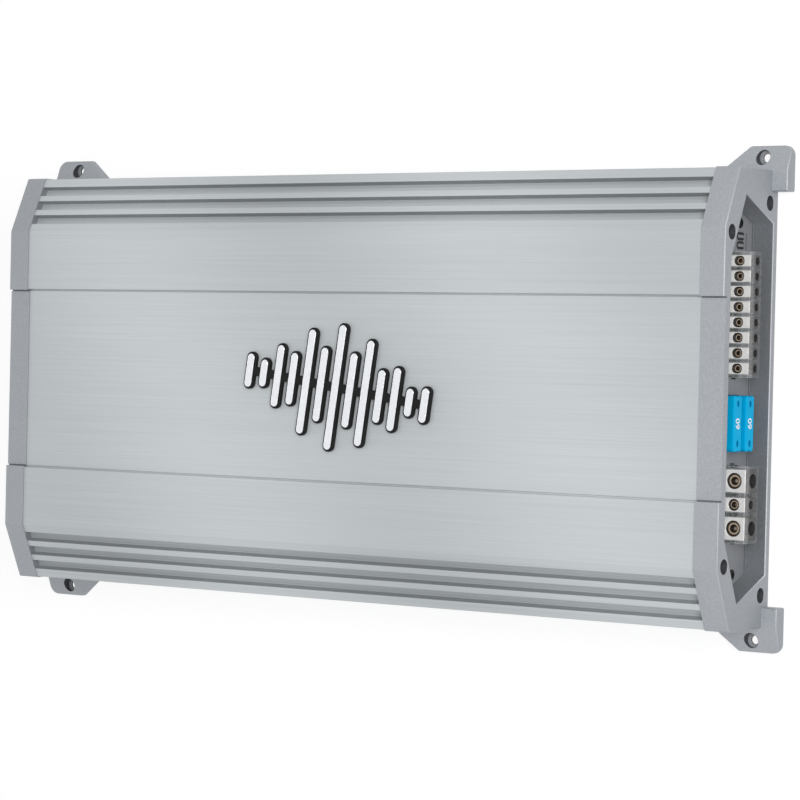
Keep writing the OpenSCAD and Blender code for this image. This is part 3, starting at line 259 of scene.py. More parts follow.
def heatsink_finish(name, colour, floor=False):
    """Extruded and brushed aluminium, clear coated: hairlines and slow streaks along the extrusion,
    with broad pale zones of painted reflection. A groove's floor takes painted shade toward its
    outer wall."""
    tree, shader = material(name)
    hair = noise(tree, 1.0, (9, 1500, 1500), 4.0, 0.6)
    lines = noise(tree, 1.0, (2.5, 420, 420), 3.0, 0.6, 1.7)
    bands = noise(tree, 1.0, (1.2, 60, 60), 2.0, 0.5, 5.3)
    tone = mix(tree, hair, scaled(colour, 0.955), scaled(colour, 1.04))
    tone = multiply(tree, tone, lines, 0.97, 1.02)
    tone = multiply(tree, tone, bands, 0.985, 1.015)
    # Painted reflection: two broad pale zones along the extrusion, a darker one between
    tone = multiply(tree, tone, painted_reflection_bands(tree), 0.91, 1.06)
    tone = multiply(tree, tone, beside_band(tree), 1.0, 0.97)
    # Painted shade: a groove's floor darkens toward its outer wall
    if floor:
        tone = multiply(tree, tone, painted_floor_shade(tree), 0.62, 1.0)
    relief = bump(tree, hair, 0.00001, bump(tree, lines, 0.00001))
    feed(tree, shader, tone, spread(tree, lines, 0.0, 1.0, 0.5, 0.62), relief)
    shader.inputs["Metallic"].default_value = 0.2
    shader.inputs["Anisotropic"].default_value = 0.3
    shader.inputs["Specular IOR Level"].default_value = 0.25


def cap_finish(name, colour, smoothest, roughest, vary=0.09):
    """Cast aluminium, blasted and silver coated: fine grain with small specks. Painted shade
    darkens its end faces and the parts toward the signal end."""
    tree, shader = material(name)
    grain = noise(tree, 1300, detail=2.0)
    specks = noise(tree, 620, detail=2.0, shift=4.4)
    clouds = noise(tree, 22, detail=2.0, shift=1.3)
    tone = mix(tree, grain, scaled(colour, 1 - vary), scaled(colour, 1 + vary))
    tone = multiply(tree, tone, specks, 1 - vary / 2, 1 + vary / 2)
    tone = multiply(tree, tone, clouds, 0.985, 1.015)
    # Painted shade on the end faces
    painted_end_shade = maths(tree, "ABSOLUTE", axes(tree, true_normal(tree))["X"])
    tone = multiply(tree, tone, spread(tree, painted_end_shade, 0.7, 1.0), 1.0, 0.84)
    # Painted shade toward the signal end
    painted_falloff_to_power = spread(tree, axes(tree, object_place(tree))["X"], *SIGNAL_TO_POWER)
    tone = multiply(tree, tone, painted_falloff_to_power, 0.88, 1.0)
    relief = bump(tree, grain, 0.00003, bump(tree, specks, 0.00003))
    feed(tree, shader, tone, spread(tree, specks, 0.0, 1.0, smoothest, roughest), relief)
    shader.inputs["Metallic"].default_value = 0.4


def painted_light_high_up(tree, least):
    """Painted light near the top of a terminal row: 1 there, falling to `least` further down, into
    painted shade.
    """
    return spread(tree, axes(tree, object_place(tree))["Z"], *UP_TERMINALS, least, 1.0)


def clear_finish():
    """Clear moulded plastic: see-through with faint streaks, and painted highlights along its edges
    that fade further down.
    """
    tree, shader = material("housing_clear")
    streaks = noise(tree, 500, (1, 1, 0.3), 2.0)
    tone = mix(tree, streaks, rgb(206, 208, 208), rgb(232, 234, 234))
    # Painted highlight: the edges turn pale and opaque, fading further down; the streaks also fade
    # out lower down as painted shade
    edge = maths(tree, "MULTIPLY", edges(tree, 0.0006), painted_light_high_up(tree, 0.1))
    faint = maths(tree, "MULTIPLY", spread(tree, streaks, 0.0, 1.0, 0.1, 0.26), painted_light_high_up(tree, 0.35))
    tree.links.new(maths(tree, "MAXIMUM", faint, edge), shader.inputs["Alpha"])
    rough = spread(tree, streaks, 0.0, 1.0, 0.06, 0.14)
    feed(tree, shader, tone, rough, bump(tree, streaks, 0.00001))
    shader.inputs["IOR"].default_value = 1.49


def nickel_finish():
    """Nickel plate: the milled top carries a painted highlight, near white; the sawn ends and the
    bores are duller, with painted shade deepening further down.
    """
    tree, shader = material("block_nickel")
    grain = noise(tree, 900, (1, 1, 0.4))
    facing_up = spread(tree, axes(tree, true_normal(tree))["Z"], 0.55, 0.95)
    at_top = spread(tree, axes(tree, object_place(tree))["Z"], *PAINTED_HIGHLIGHT_TOP)
    painted_lit_top = maths(tree, "MULTIPLY", facing_up, at_top)
    dull_and_painted_shade = mix(tree, grain, rgb(112, 112, 113), rgb(140, 139, 138))
    dull_and_painted_shade = multiply(tree, dull_and_painted_shade, painted_light_high_up(tree, 0.0), 0.42, 1.0)
    painted_highlight_tone = mix(tree, grain, rgb(241, 239, 235), rgb(252, 251, 249))
    rough = spread(tree, painted_lit_top, 0.0, 1.0, 0.5, 0.4)
    feed(tree, shader, mix(tree, painted_lit_top, dull_and_painted_shade, painted_highlight_tone), rough, bump(tree, grain, 0.00002))
    tree.links.new(spread(tree, painted_lit_top, 0.0, 1.0, 0.6, 0.08), shader.inputs["Metallic"])


def screw_finish():
    """The turned face of a set screw: bronze rings between rings of painted shade, and a painted
    glint down in the socket.
    """
    tree, shader = material("screw_face")
    place = add(tree, "ShaderNodeTexCoord").outputs["Generated"]
    ins = {0: place, 1: (2, 2, 0), 2: (-1, -1, 0)}
    flat = add(tree, "ShaderNodeVectorMath", ins, operation="MULTIPLY_ADD").outputs[0]
    out = add(tree, "ShaderNodeVectorMath", {0: flat}, operation="LENGTH").outputs["Value"]
    rings = add(tree, "ShaderNodeValToRGB", {0: out})
    # Painted glint at the middle, painted shade in the dark rings
    stops = ((0.0, rgb(236, 226, 212)), (0.2, rgb(150, 130, 108)), (0.34, rgb(38, 30, 25)),
             (0.52, rgb(70, 56, 45)), (0.58, rgb(214, 198, 176)), (0.74, rgb(180, 160, 134)),
             (0.8, rgb(66, 54, 44)), (1.0, rgb(52, 42, 35)))
    while len(rings.color_ramp.elements) < len(stops):
        rings.color_ramp.elements.new(0.5)
    for element, (at, colour) in zip(rings.color_ramp.elements, stops):
        element.position, element.color = at, colour
    grain = noise(tree, 1600, detail=2.0)
    tone = multiply(tree, rings.outputs[0], grain, 0.86, 1.12)
    rough = spread(tree, grain, 0.0, 1.0, 0.28, 0.46)
    feed(tree, shader, tone, rough, bump(tree, grain, 0.00002))
    shader.inputs["Metallic"].default_value = 0.3


def make_finishes():
    """Every finish, and for each slot of the CAD nodes the finish of that name."""
    heatsink_finish("heatsink_alu", SILVER)
    cap_finish("cap_alu", CAST, 0.42, 0.58)
    # Painted shade in the steps beside the centre band and the shadow lines at their feet
    heatsink_finish("heatsink_line_painted_shade", scaled(SILVER, 0.95))
    # Painted shade on the walls of the grooves
    heatsink_finish("heatsink_wall_painted_shade", scaled(SILVER, 0.58))
    # Groove floors: painted lighter than the lands, with painted shade toward their outer walls
    heatsink_finish("heatsink_floor_painted_shading", scaled(SILVER, 1.15), floor=True)
    cap_finish("cap_edge", CAST_EDGE, 0.42, 0.52, 0.02)
    # Painted shade in a cap's opening and steps
    cap_finish("cap_inner_painted_shade", CAST_RECESS_SHADE, 0.5, 0.62)
    # Painted shade in a cap's holes
    cap_finish("cap_hole_painted_shade", CAST_HOLE_SHADE, 0.55, 0.66)
    surface("cover_black", rgb(28, 29, 31), 0.55, 0.0, 900, vary=0.2, relief=0.00006)
    surface("zinc_screw", rgb(176, 178, 180), 0.34, 0.9, 1500, rough_vary=0.1)
    surface("black_screw", rgb(17, 17, 18), 0.5, 0.0, 1500, vary=0.2, rough_vary=0.12,
            Specular_IOR_Level=0.25)
    surface("panel_grey", rgb(140, 142, 146), 0.5, 0.1, 1400, vary=0.07, relief=0.00003)
    surface("badge_black", rgb(12, 12, 13), 0.42, 0.0, 900, vary=0.2, Specular_IOR_Level=0.2)
    surface("badge_chrome", rgb(232, 234, 238), 0.14, 0.95, 420, vary=0.03, rough_vary=0.05,
            relief=0.000006)
    surface("board_green", rgb(22, 84, 48), 0.4, 0.0, 260, vary=0.16, Coat_Weight=0.3)
    surface("ferrite", rgb(52, 64, 58), 0.5, 0.0, 600, vary=0.15, relief=0.00004)
    surface("copper_wire", rgb(178, 96, 48), 0.3, 0.85, 500, vary=0.1, relief=0.00003)
    surface("can_sleeve", rgb(30, 32, 44), 0.35, 0.0, 500, vary=0.15, relief=0.00001)
    surface("chip_black", rgb(26, 26, 28), 0.5, 0.0, 1500, vary=0.2)
    surface("tinned", rgb(186, 188, 190), 0.3, 0.9, 700, rough_vary=0.1)
    surface("silicone", rgb(150, 152, 156), 0.7, 0.0, 900, vary=0.06)
    surface("bar_steel", rgb(150, 152, 156), 0.4, 0.9, 600, (0.05, 1, 1), rough_vary=0.1)
    surface("film_red", rgb(150, 34, 28), 0.35, 0.0, 500, vary=0.1)
    surface("socket_black", rgb(24, 24, 26), 0.48, 0.0, 1100, vary=0.2, relief=0.00003)
    surface("sleeve_gold", rgb(206, 178, 112), 0.24, 0.95, 900, relief=0.00001)
    surface("core_white", rgb(220, 218, 212), 0.4, 0.0, 700, vary=0.03)
    surface("core_red", rgb(178, 30, 30), 0.4, 0.0, 700)
    surface("control_blue", rgb(34, 74, 150), 0.4, 0.0, 700, vary=0.08)
    surface("shaft_dark", rgb(40, 40, 43), 0.42, 0.0, 900, vary=0.15)
    surface("tip_white", rgb(214, 214, 210), 0.4, 0.0, 800, vary=0.04)
    surface("light_clear", rgb(206, 226, 214), 0.16, 0.0, 500, vary=0.03, rough_vary=0.05,
            Transmission_Weight=0.55, IOR=1.5)
    clear_finish()
    nickel_finish()
    surface("set_screw", rgb(58, 50, 44), 0.42, 0.5, 1600, vary=0.16, rough_vary=0.1)
    surface("screw_rim", rgb(92, 78, 66), 0.36, 0.6, 1600, vary=0.14, rough_vary=0.1)
    screw_finish()
    # Painted highlight for the roundings along the blocks' top edges
    surface("nickel_edge_painted_highlight", rgb(250, 249, 246), 0.3, 0.1, 900, vary=0.03)
    surface("holder_black", rgb(38, 40, 42), 0.5, 0.0, 1000, vary=0.15)
    surface("contact_brass", rgb(196, 160, 88), 0.3, 0.9, 800, rough_vary=0.1)
    surface("fuse_blue", rgb(0, 176, 228), 0.42, 0.0, 380, vary=0.03, rough_vary=0.06,
            relief=0.00001, Specular_IOR_Level=0.06)
    surface("fuse_dimple", rgb(0, 118, 165), 0.5, 0.0, 380, vary=0.08, Specular_IOR_Level=0.06)
    surface("blade_zinc", rgb(176, 178, 180), 0.34, 0.9, 800, rough_vary=0.1)
    surface("print_black", rgb(16, 16, 17), 0.5, 0.0, 900, vary=0.2)
    surface("print_white", rgb(240, 241, 242), 0.5, 0.0, 900, vary=0.02)
    for node in NODES.values():
        for place in node.material_slots:
            slot = place.material.name.removesuffix("_cad")
            place.material = bpy.data.materials[slot]


# ---------------------------------------------------------------- pieces

def link(name, mesh):
    obj = bpy.data.objects.new(name, mesh)
    bpy.context.scene.collection.objects.link(obj)
    return obj


def as_object(name, shape):
    mesh = bpy.data.meshes.new(name)
    shape.to_mesh(mesh)
    shape.free()
    return link(name, mesh)


def fixed_mesh(obj, name):
    """The object's mesh with its modifiers applied, as a new mesh."""
    bpy.context.view_layer.update()
    seen = obj.evaluated_get(bpy.context.evaluated_depsgraph_get())
    mesh = bpy.data.meshes.new_from_object(seen)
    mesh.name = name
    return mesh


def settle(obj, body, nodes=()):
    """Puts a finished piece on its body, and hides the CAD nodes that it stands for."""
    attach(obj, body)
    if nodes:
        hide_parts(*nodes)


def even_shading(obj, weight):
    """Lets large faces lead the shading of the roundings beside them."""
    even = obj.modifiers.new("even", "WEIGHTED_NORMAL")
    even.weight = weight
    even.keep_sharp = True


# ---- rounded edges ----

# Rims made of edges shorter than this are small
SHORT_EDGE = 0.0012
# Faces that still meet at more than this after the rounding are shaded apart
CORNER = math.radians(62)


def small_rims(taken):
    """The edges that join into rims of short edges only, such as the rims of screw holes."""
    at, left, small = {}, set(taken), set()
    for edge in taken:
        for vert in edge.verts:
            at.setdefault(vert, []).append(edge)
    while left:
        rim, todo = set(), [left.pop()]
        while todo:
            edge = todo.pop()
            rim.add(edge)
            near = {other for vert in edge.verts for other in at[vert]} & left
            left -= near
            todo += near
        if max(edge.calc_length() for edge in rim) < SHORT_EDGE:
            small |= rim
    return small


def part_at_corners(obj):
    """Applies the roundings, and parts the shading where one runs out against another face."""
    obj.data = fixed_mesh(obj, obj.data.name)
    obj.modifiers.clear()
    shape = bmesh.new()
    shape.from_mesh(obj.data)
    for edge in shape.edges:
        if len(edge.link_faces) == 2 and edge.calc_face_angle(0) > CORNER:
            edge.smooth = False
    shape.to_mesh(obj.data)
    shape.free()


def whole_faces(mesh, pierced):
    """The mesh as a bmesh, with the triangles of each flat face joined again. On a node whose small
    faces are `pierced` by holes, a face of more than four corners is left in triangles."""
    shape = bmesh.new()
    shape.from_mesh(mesh)
    bmesh.ops.remove_doubles(shape, verts=shape.verts, dist=2e-6)
    bmesh.ops.dissolve_limit(shape, angle_limit=math.radians(0.5), verts=shape.verts,
                             edges=shape.edges)
    if pierced:
        many = [face for face in shape.faces if len(face.verts) > 4]
        bmesh.ops.triangulate(shape, faces=many)
    shape.normal_update()
    return shape


def dressed(node, width, segments=2, lean=30, body=WHOLE, pick=None, rim=1.0, edge_finish=None,
            others=(), pierced=False):
    """The node's own form with its edges rounded, where they lean more than `lean` degrees: `pick`
    says which of those, `rim` how much on the rims of small holes. The roundings may take a finish
    of their own, and `others` pairs more finishes with tests for their faces."""
    source = NODES[node]
    mesh = source.data.copy()
    mesh.name = node + "_dressed"
    shape = whole_faces(mesh, pierced)
    layer = shape.edges.layers.float.new("bevel_weight_edge")
    sharp = [edge for edge in shape.edges
             if len(edge.link_faces) == 2 and edge.calc_face_angle(0) > math.radians(lean)]
    taken = [edge for edge in sharp if pick is None or pick(edge)]
    for edge in sharp:
        edge.smooth = False
    rims = small_rims(taken)
    for edge in taken:
        edge.smooth = True
        edge[layer] = rim if edge in rims else 1.0
    for face in shape.faces:
        face.smooth = True
        for index, (_, test) in enumerate(others, 2):
            if test(face):
                face.material_index = index
    slot = source.material_slots[0].material.name
    obj = link(node + "_dressed", mesh)
    coat(mesh, slot, edge_finish or slot, *(finish for finish, _ in others))
    shape.to_mesh(mesh)
    shape.free()
    round_off = obj.modifiers.new("round", "BEVEL")
    round_off.width = width
    round_off.segments = segments
    round_off.limit_method = "WEIGHT"
    round_off.use_clamp_overlap = False
    round_off.miter_outer = "MITER_SHARP"
    if edge_finish:
        round_off.material = 1
    part_at_corners(obj)
    even_shading(obj, 100)
    settle(obj, body, (node,))
    return obj


# ---- tests for edges and faces of the heatsink and the caps ----

# The steps beside the centre band: distances from the middle, and the height above which they are
STEP_INNER, STEP_OUTER, STEP_LOW = 0.0514, 0.0536, 0.0555
# The grooves in the shoulders: depths below the slope, and how far out and how high they are
GROOVE_SHALLOW, GROOVE_DEEP = 0.0012, 0.0056
GROOVE_OUTER, GROOVE_LOW = 0.119, 0.038
# The grooves in the sides: distances from the middle, and the height below which they are
SIDE_INNER, SIDE_OUTER, SIDE_HIGH = 0.1160, 0.1192, 0.042
# A cap's screw holes, as distance from the middle and height, and a foot's hole, as distances from
# the middle along X and Y, with radii that take in their walls
CAP_SCREWS, CAP_SCREW_RADIUS = ((0.0858, 0.0520), (0.1027, 0.0102)), 0.0046
FOOT_HOLE, FOOT_HOLE_RADIUS = (0.2340, 0.1270), 0.0044
# A cap's opening: distances from the middle along X and along Y, its least and its middle height
OPENING_BACK, OPENING_FRONT, OPENING_SIDE = 0.2285, 0.2415, 0.1175
OPENING_LOW, OPENING_MIDDLE = 0.0018, 0.028
# Further out along X than this, a cap's edges are clear of the heatsink
CLEAR_OF_SINK = 0.2275
# A face lies along a direction when its normal has less than this share of it
SIDEWAYS = 0.3
# Edges whose faces meet at less than this are blunt
BLUNT = math.radians(30)


def land_edge(edge):
    """Picks the heatsink's convex edges that run its whole length."""
    a, b = edge.verts
    run = b.co - a.co
    return edge.is_convex and run.length > 0.1 and abs(run.x) > 0.999 * run.length


def by_the_step(y, z):
    """In the steps beside the centre band, with the shadow lines at their feet."""
    return STEP_INNER < abs(y) < STEP_OUTER and z > STEP_LOW


def in_line(face):
    """Picks the heatsink's steps beside the centre band, with the shadow lines at their feet."""
    centre = face.calc_center_median()
    return abs(face.normal.x) < 0.5 and by_the_step(centre.y, centre.z)


def groove_faces(wall):
    """Picks the walls of the heatsink's grooves, or their floors with the rounded corners."""
    out_y, out_z = math.sin(SHOULDER_LEAN), math.cos(SHOULDER_LEAN)

    def test(face):
        centre, normal = face.calc_center_median(), face.normal
        out, outward = abs(centre.y), normal.y * math.copysign(1.0, centre.y)
        if abs(normal.x) > 0.5 or out < SHOULDER_TOP[0]:
            return False
        depth = (SHOULDER_TOP[0] - out) * out_y + (SHOULDER_TOP[1] - centre.z) * out_z
        if GROOVE_SHALLOW < depth < GROOVE_DEEP and out < GROOVE_OUTER and centre.z > GROOVE_LOW:
            facing = outward * out_y + normal.z * out_z
        elif SIDE_INNER < out < SIDE_OUTER and centre.z < SIDE_HIGH:
            facing = outward
        else:
            return False
        return facing > -SIDEWAYS and (facing < SIDEWAYS) == wall
    return test


def in_hole(face):
    """Picks the walls of a cap's screw holes and of the holes in its feet, which take painted
    shade.
    """
    centre, normal = face.calc_center_median(), face.normal
    x, y, z = abs(centre.x), abs(centre.y), centre.z
    if math.hypot(x - FOOT_HOLE[0], y - FOOT_HOLE[1]) < FOOT_HOLE_RADIUS:
        return abs(normal.z) < SIDEWAYS
    return abs(normal.x) < SIDEWAYS and any(
        math.hypot(y - hole_y, z - hole_z) < CAP_SCREW_RADIUS for hole_y, hole_z in CAP_SCREWS)


def faces_recess(face):
    """Picks the walls of a cap's opening and of its steps, which take painted shade."""
    centre, normal = face.calc_center_median(), face.normal
    if abs(normal.x) > SIDEWAYS:
        return False
    if by_the_step(centre.y, centre.z):
        return True
    by_opening = (OPENING_BACK < abs(centre.x) < OPENING_FRONT and abs(centre.y) < OPENING_SIDE
                  and centre.z > OPENING_LOW)
    return by_opening and normal.y * centre.y + normal.z * (centre.z - OPENING_MIDDLE) < 0


def outer_edge(edge):
    """Picks a cap's convex edges, but not the blunt ones, those against the heatsink or those of
    its steps."""
    a, b = (vert.co for vert in edge.verts)
    return (edge.is_convex and edge.calc_face_angle(0) > BLUNT
            and max(abs(a.x), abs(b.x)) > CLEAR_OF_SINK
            and not (by_the_step(a.y, a.z) and by_the_step(b.y, b.z)))


# ---- terminals ----

# How far below a node's top a point may lie and still count as part of it
TOP_SKIN = 0.0001
BLOCK_ROUNDING = 0.0004


def upper_rim(node):
    """Picks the edges round a screw's top, not those of its socket."""
    low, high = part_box(node)
    middle, radius = (low + high) / 2, (high.x - low.x) / 2

    def on_rim(place):
        out = math.hypot(place.x - middle.x, place.y - middle.y)
        return place.z > high.z - TOP_SKIN and out > 0.9 * radius
    return lambda edge: all(on_rim(vert.co) for vert in edge.verts)


def top_edge(node):
    """Picks the edges of a node's top faces."""
    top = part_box(node)[1].z
    return lambda edge: all(vert.co.z > top - TOP_SKIN for vert in edge.verts)


def looks_up(face):
    return face.normal.z > 0.9


def build_screws():
    """Set screws: a turned face with bronze rings, painted rings of shade and a painted glint
    inside a rounded rim, on a bronze-dark body.
    """
    for kind, terminals, width in (("speaker", SPEAKER_TERMINALS, 0.00055),
                                   ("power", POWER_TERMINALS, 0.0009)):
        for i in terminals:
            node = f"{kind}_screw_{i}"
            dressed(node, width, body=f"{kind}_clamp_{i}", pick=upper_rim(node),
                    edge_finish="screw_rim", others=[("screw_face", looks_up)], pierced=True)


def rounded_blocks(node):
    return dressed(node, BLOCK_ROUNDING, pick=top_edge(node), edge_finish="nickel_edge_painted_highlight",
                   pierced=True)


def build_blocks():
    """Terminal blocks: roundings along their top edges painted bright as highlights, and dark rims
    of painted shadow round the speaker screws.
    """
    rounded_blocks("power_blocks")
    mesh = rounded_blocks("speaker_blocks").data
    # Painted shadow: the roundings round each speaker screw take the black screw finish, where the
    # gap round the screw lies in shade
    mesh.materials.append(bpy.data.materials["black_screw"])
    for i in SPEAKER_TERMINALS:
        low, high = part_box(f"speaker_screw_{i}")
        middle, reach = (low + high) / 2, (high.x - low.x) / 2 + 1.5 * BLOCK_ROUNDING
        for polygon in mesh.polygons:
            off = polygon.center - middle
            if polygon.material_index == 1 and math.hypot(off.x, off.y) < reach:
                polygon.material_index = 2


# ---- small forms ----

def prism(shape, section, x1, x2):
    """Adds a prism along X to the mesh from a section in Y and Z."""
    ends = [[shape.verts.new((x, y, z)) for y, z in section] for x in (x1, x2)]
    n = len(section)
    for i in range(n):
        shape.faces.new((ends[0][i], ends[0][(i + 1) % n], ends[1][(i + 1) % n], ends[1][i]))
    shape.faces.new(ends[0][::-1])
    shape.faces.new(ends[1])
    bmesh.ops.recalc_face_normals(shape, faces=shape.faces)


def carved(body, cutters, name):
    """The body's mesh with the cutters taken out of it; body and cutters go."""
    for cutter in cutters:
        cut = body.modifiers.new("cut", "BOOLEAN")
        cut.operation, cut.solver, cut.object = "DIFFERENCE", "EXACT", cutter
        mesh = fixed_mesh(body, name)
        bpy.data.objects.remove(cutter)
        body.modifiers.clear()
        body.data = mesh
    mesh = body.data
    bpy.data.objects.remove(body)
    return mesh


# A panel screw's head: its radius, how far it rises and how far it sinks in, and its facets
HEAD_RADIUS, HEAD_RISE, HEAD_SINK, HEAD_FACETS = 0.0027, 0.0009, 0.0003, 32
# The cross in it: half the length and half the width of a slot, and how far the slots' floor and
# their cutters' far end stand out from the panel
CROSS_LONG, CROSS_WIDE, CROSS_FLOOR, CROSS_END = 0.0013, 0.00028, 0.0002, 0.002


def low_head(side, y, z, panel_face):
    """A low domed screw head with a cross recess, on one of the end panels."""
    shape = bmesh.new()
    rings = [(HEAD_RADIUS, -HEAD_SINK)]
    rings += [(HEAD_RADIUS * (0.45 + 0.55 * math.cos(a)), HEAD_RISE * (0.3 + 0.7 * math.sin(a)))
              for a in (math.radians(15 * k) for k in range(7))]
    turns = [math.tau * k / HEAD_FACETS for k in range(HEAD_FACETS)]
    loops = [[shape.verts.new((side * (panel_face + rise), y + radius * math.cos(t),
                               z + radius * math.sin(t))) for t in turns]
             for radius, rise in rings]
    for low, high in zip(loops, loops[1:]):
        for k in range(HEAD_FACETS):
            shape.faces.new((low[k - 1], low[k], high[k], high[k - 1]))
    shape.faces.new(loops[0])
    shape.faces.new(loops[-1])
    bmesh.ops.recalc_face_normals(shape, faces=shape.faces)
    head = as_object("head", shape)
    near, far = sorted((side * (panel_face + CROSS_FLOOR), side * (panel_face + CROSS_END)))
    cutters = []
    for across, up in ((CROSS_LONG, CROSS_WIDE), (CROSS_WIDE, CROSS_LONG)):
        slot = bmesh.new()
        corners = [(y - across, z - up), (y + across, z - up),
                   (y + across, z + up), (y - across, z + up)]
        prism(slot, corners, near, far)
        cutters.append(as_object("slot", slot))
    return carved(head, cutters, "low_head")


def build_panel_screws():
    """Low black cross-recess screws that hold the end panels, four in one piece."""
    low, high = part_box("panel_screws")
    panel_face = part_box("end_panel_power")[1].x
    shape = bmesh.new()
    for side in (-1, 1):
        for y in (low.y + HEAD_RADIUS, high.y - HEAD_RADIUS):
            shape.from_mesh(low_head(side, y, (low.z + high.z) / 2, panel_face))
    heads = as_object("panel_screw_heads", shape)
    coat(heads.data, "black_screw")
    settle(heads, WHOLE, ("panel_screws",))


# ---- fuses ----

# The roundings of a fuse's long edges and of its face
FUSE_SIDE_ROUND, FUSE_FACE_ROUND = 0.0018, 0.0008
# From the middle of a fuse to its dimples, the half sizes of the ball that cuts one, and how far
# the ball's middle stands out of the face
DIMPLE_OUT, DIMPLE_BALL, DIMPLE_PROUD = 0.0103, (0.0011, 0.0019, 0.0014), 0.0003
# The half sizes along Y and Z, and the depth, within and below which a face is a dimple's
DIMPLE_HALF_Y, DIMPLE_HALF_Z, DIMPLE_DEPTH = 0.0020, 0.0015, 0.00004
# A side groove's depth and half width, and how far its cutter stands out of the side and the ends
NOTCH_DEPTH, NOTCH_HALF, NOTCH_PROUD, NOTCH_OVER = 0.0007, 0.001, 0.0003, 0.001
# The figures' size, half their thickness, and how far their middle stands off the fuse's face
FIGURE_SIZE, FIGURE_HALF, FIGURE_OUT = 0.0058, 0.00001, 0.00002
# Stands them on a face that looks along X, with their line along Y
ALONG_Y = Matrix(((0, 0, 1, 0), (1, 0, 0, 0), (0, 1, 0, 0), (0, 0, 0, 1)))


def fuse_body(node):
    """A moulded fuse body: rounded corners, a dimple at each end of its face, a groove in each
    short side."""
    low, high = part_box(node)
    middle = (low + high) / 2
    shape = bmesh.new()
    corners = [(low.y, low.z), (high.y, low.z), (high.y, high.z), (low.y, high.z)]
    prism(shape, corners, low.x, high.x)
    long = [edge for edge in shape.edges if abs(edge.verts[0].co.x - edge.verts[1].co.x) > 0.001]
    bmesh.ops.bevel(shape, geom=long, offset=FUSE_SIDE_ROUND, segments=5, profile=0.5,
                    affect="EDGES")
    front = [edge for edge in shape.edges if all(vert.co.x > high.x - 1e-6 for vert in edge.verts)]
    bmesh.ops.bevel(shape, geom=front, offset=FUSE_FACE_ROUND, segments=3, profile=0.5,
                    affect="EDGES")
    body = as_object(node + "_blank", shape)
    cutters = []
    for side in (-1, 1):
        dent = bmesh.new()
        bmesh.ops.create_uvsphere(dent, u_segments=48, v_segments=24, radius=1.0)
        bmesh.ops.scale(dent, vec=DIMPLE_BALL, verts=dent.verts)
        centre = (high.x + DIMPLE_PROUD, middle.y + side * DIMPLE_OUT, middle.z)
        bmesh.ops.translate(dent, vec=centre, verts=dent.verts)
        notch = bmesh.new()
        end = middle.y + side * (high.y - low.y) / 2
        corners = [(end - side * NOTCH_DEPTH, middle.z),
                   (end + side * NOTCH_PROUD, middle.z + NOTCH_HALF),
                   (end + side * NOTCH_PROUD, middle.z - NOTCH_HALF)]
        prism(notch, corners, low.x - NOTCH_OVER, high.x + NOTCH_OVER)
        cutters += [as_object("dent", dent), as_object("notch", notch)]
    mesh = carved(body, cutters, node + "_moulded")
    # The dimples take a darker blue, painted shade
    coat(mesh, "fuse_blue", "fuse_dimple")
    for polygon in mesh.polygons:
        polygon.use_smooth = True
        off = polygon.center - middle
        out = math.hypot((abs(off.y) - DIMPLE_OUT) / DIMPLE_HALF_Y, off.z / DIMPLE_HALF_Z)
        polygon.material_index = int(out < 1 and polygon.center.x < high.x - DIMPLE_DEPTH)
    obj = link(node + "_moulded", mesh)
    even_shading(obj, 50)
    return obj


def fuse_figure(name, place, body):
    """A fuse's rating in plain printed figures, a film's thickness proud of the fuse's face."""
    curve = bpy.data.curves.new(name, "FONT")
    curve.body = "60"
    curve.size = FIGURE_SIZE
    curve.extrude = FIGURE_HALF
    curve.offset = FIGURE_SIZE * 0.02
    curve.align_x, curve.align_y = "CENTER", "CENTER"
    drawn = link(name + "_curve", curve)
    drawn.matrix_world = Matrix.Translation(place) @ ALONG_Y
    mesh = fixed_mesh(drawn, name)
    mesh.transform(drawn.matrix_world)
    bpy.data.objects.remove(drawn)
    coat(mesh, "print_white")
    settle(link(name, mesh), body)


def build_fuses():
    for i in FUSES:
        node = f"fuse_body_{i}"
        settle(fuse_body(node), f"fuse_{i}", (node,))
        low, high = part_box(node)
        middle = (low + high) / 2
        fuse_figure(f"fuse_figure_{i}", (high.x + FIGURE_OUT, middle.y, middle.z), f"fuse_{i}")


# ---- printed marks ----

# How far the marks stand off their panel
MARK_OUT = 0.00003
# The level controls' ticks: their width, the radii of their ends, the angle between two of them
TICK_WIDTH, TICK_INNER, TICK_OUTER, LONG_TICK_OUTER = 0.00035, 0.0042, 0.0050, 0.0054
TICK_ANGLE = 50
# The switches' dashes: how far apart they are, and where each runs above its switch
SWITCH_THROW, SWITCH_DASH = 0.004, (0.0028, 0.0042)
# The arches: their places, half width and height at the foot and at the leg, half width, height
# and rise of the bow, and the stroke's width
ARCHES = (0.0851, 0.0804)
ARCH_FOOT, ARCH_LEG = (0.0011, 0.0148), (0.0015, 0.0162)
BOW_HALF, BOW_HEIGHT, BOW_RISE, ARCH_WIDTH = 0.0015, 0.0205, 0.0016, 0.0014
# The rule below them: its ends and its width
RULE, RULE_WIDTH = [(0.0780, 0.0120), (0.0870, 0.0121)], 0.0006
# The dashes at the ends of the terminal rows: their middles, half length and width
DASHES = ((-0.0340, 0.0215), (-0.0757, 0.0195), (0.0106, 0.0225))
DASH_HALF, DASH_WIDTH = 0.0026, 0.0008


def stroke(shape, points, width, x):
    """Adds a flat printed stroke along points in Y and Z, at x."""
    rails = []
    for i, (y, z) in enumerate(points):
        y0, z0 = points[max(i - 1, 0)]
        y1, z1 = points[min(i + 1, len(points) - 1)]
        long = math.hypot(y1 - y0, z1 - z0)
        ny, nz = -(z1 - z0) / long * width / 2, (y1 - y0) / long * width / 2
        rails.append([shape.verts.new((x, y + ny, z + nz)), shape.verts.new((x, y - ny, z - nz))])
    for a, b in zip(rails, rails[1:]):
        shape.faces.new((a[0], b[0], b[1], a[1]))


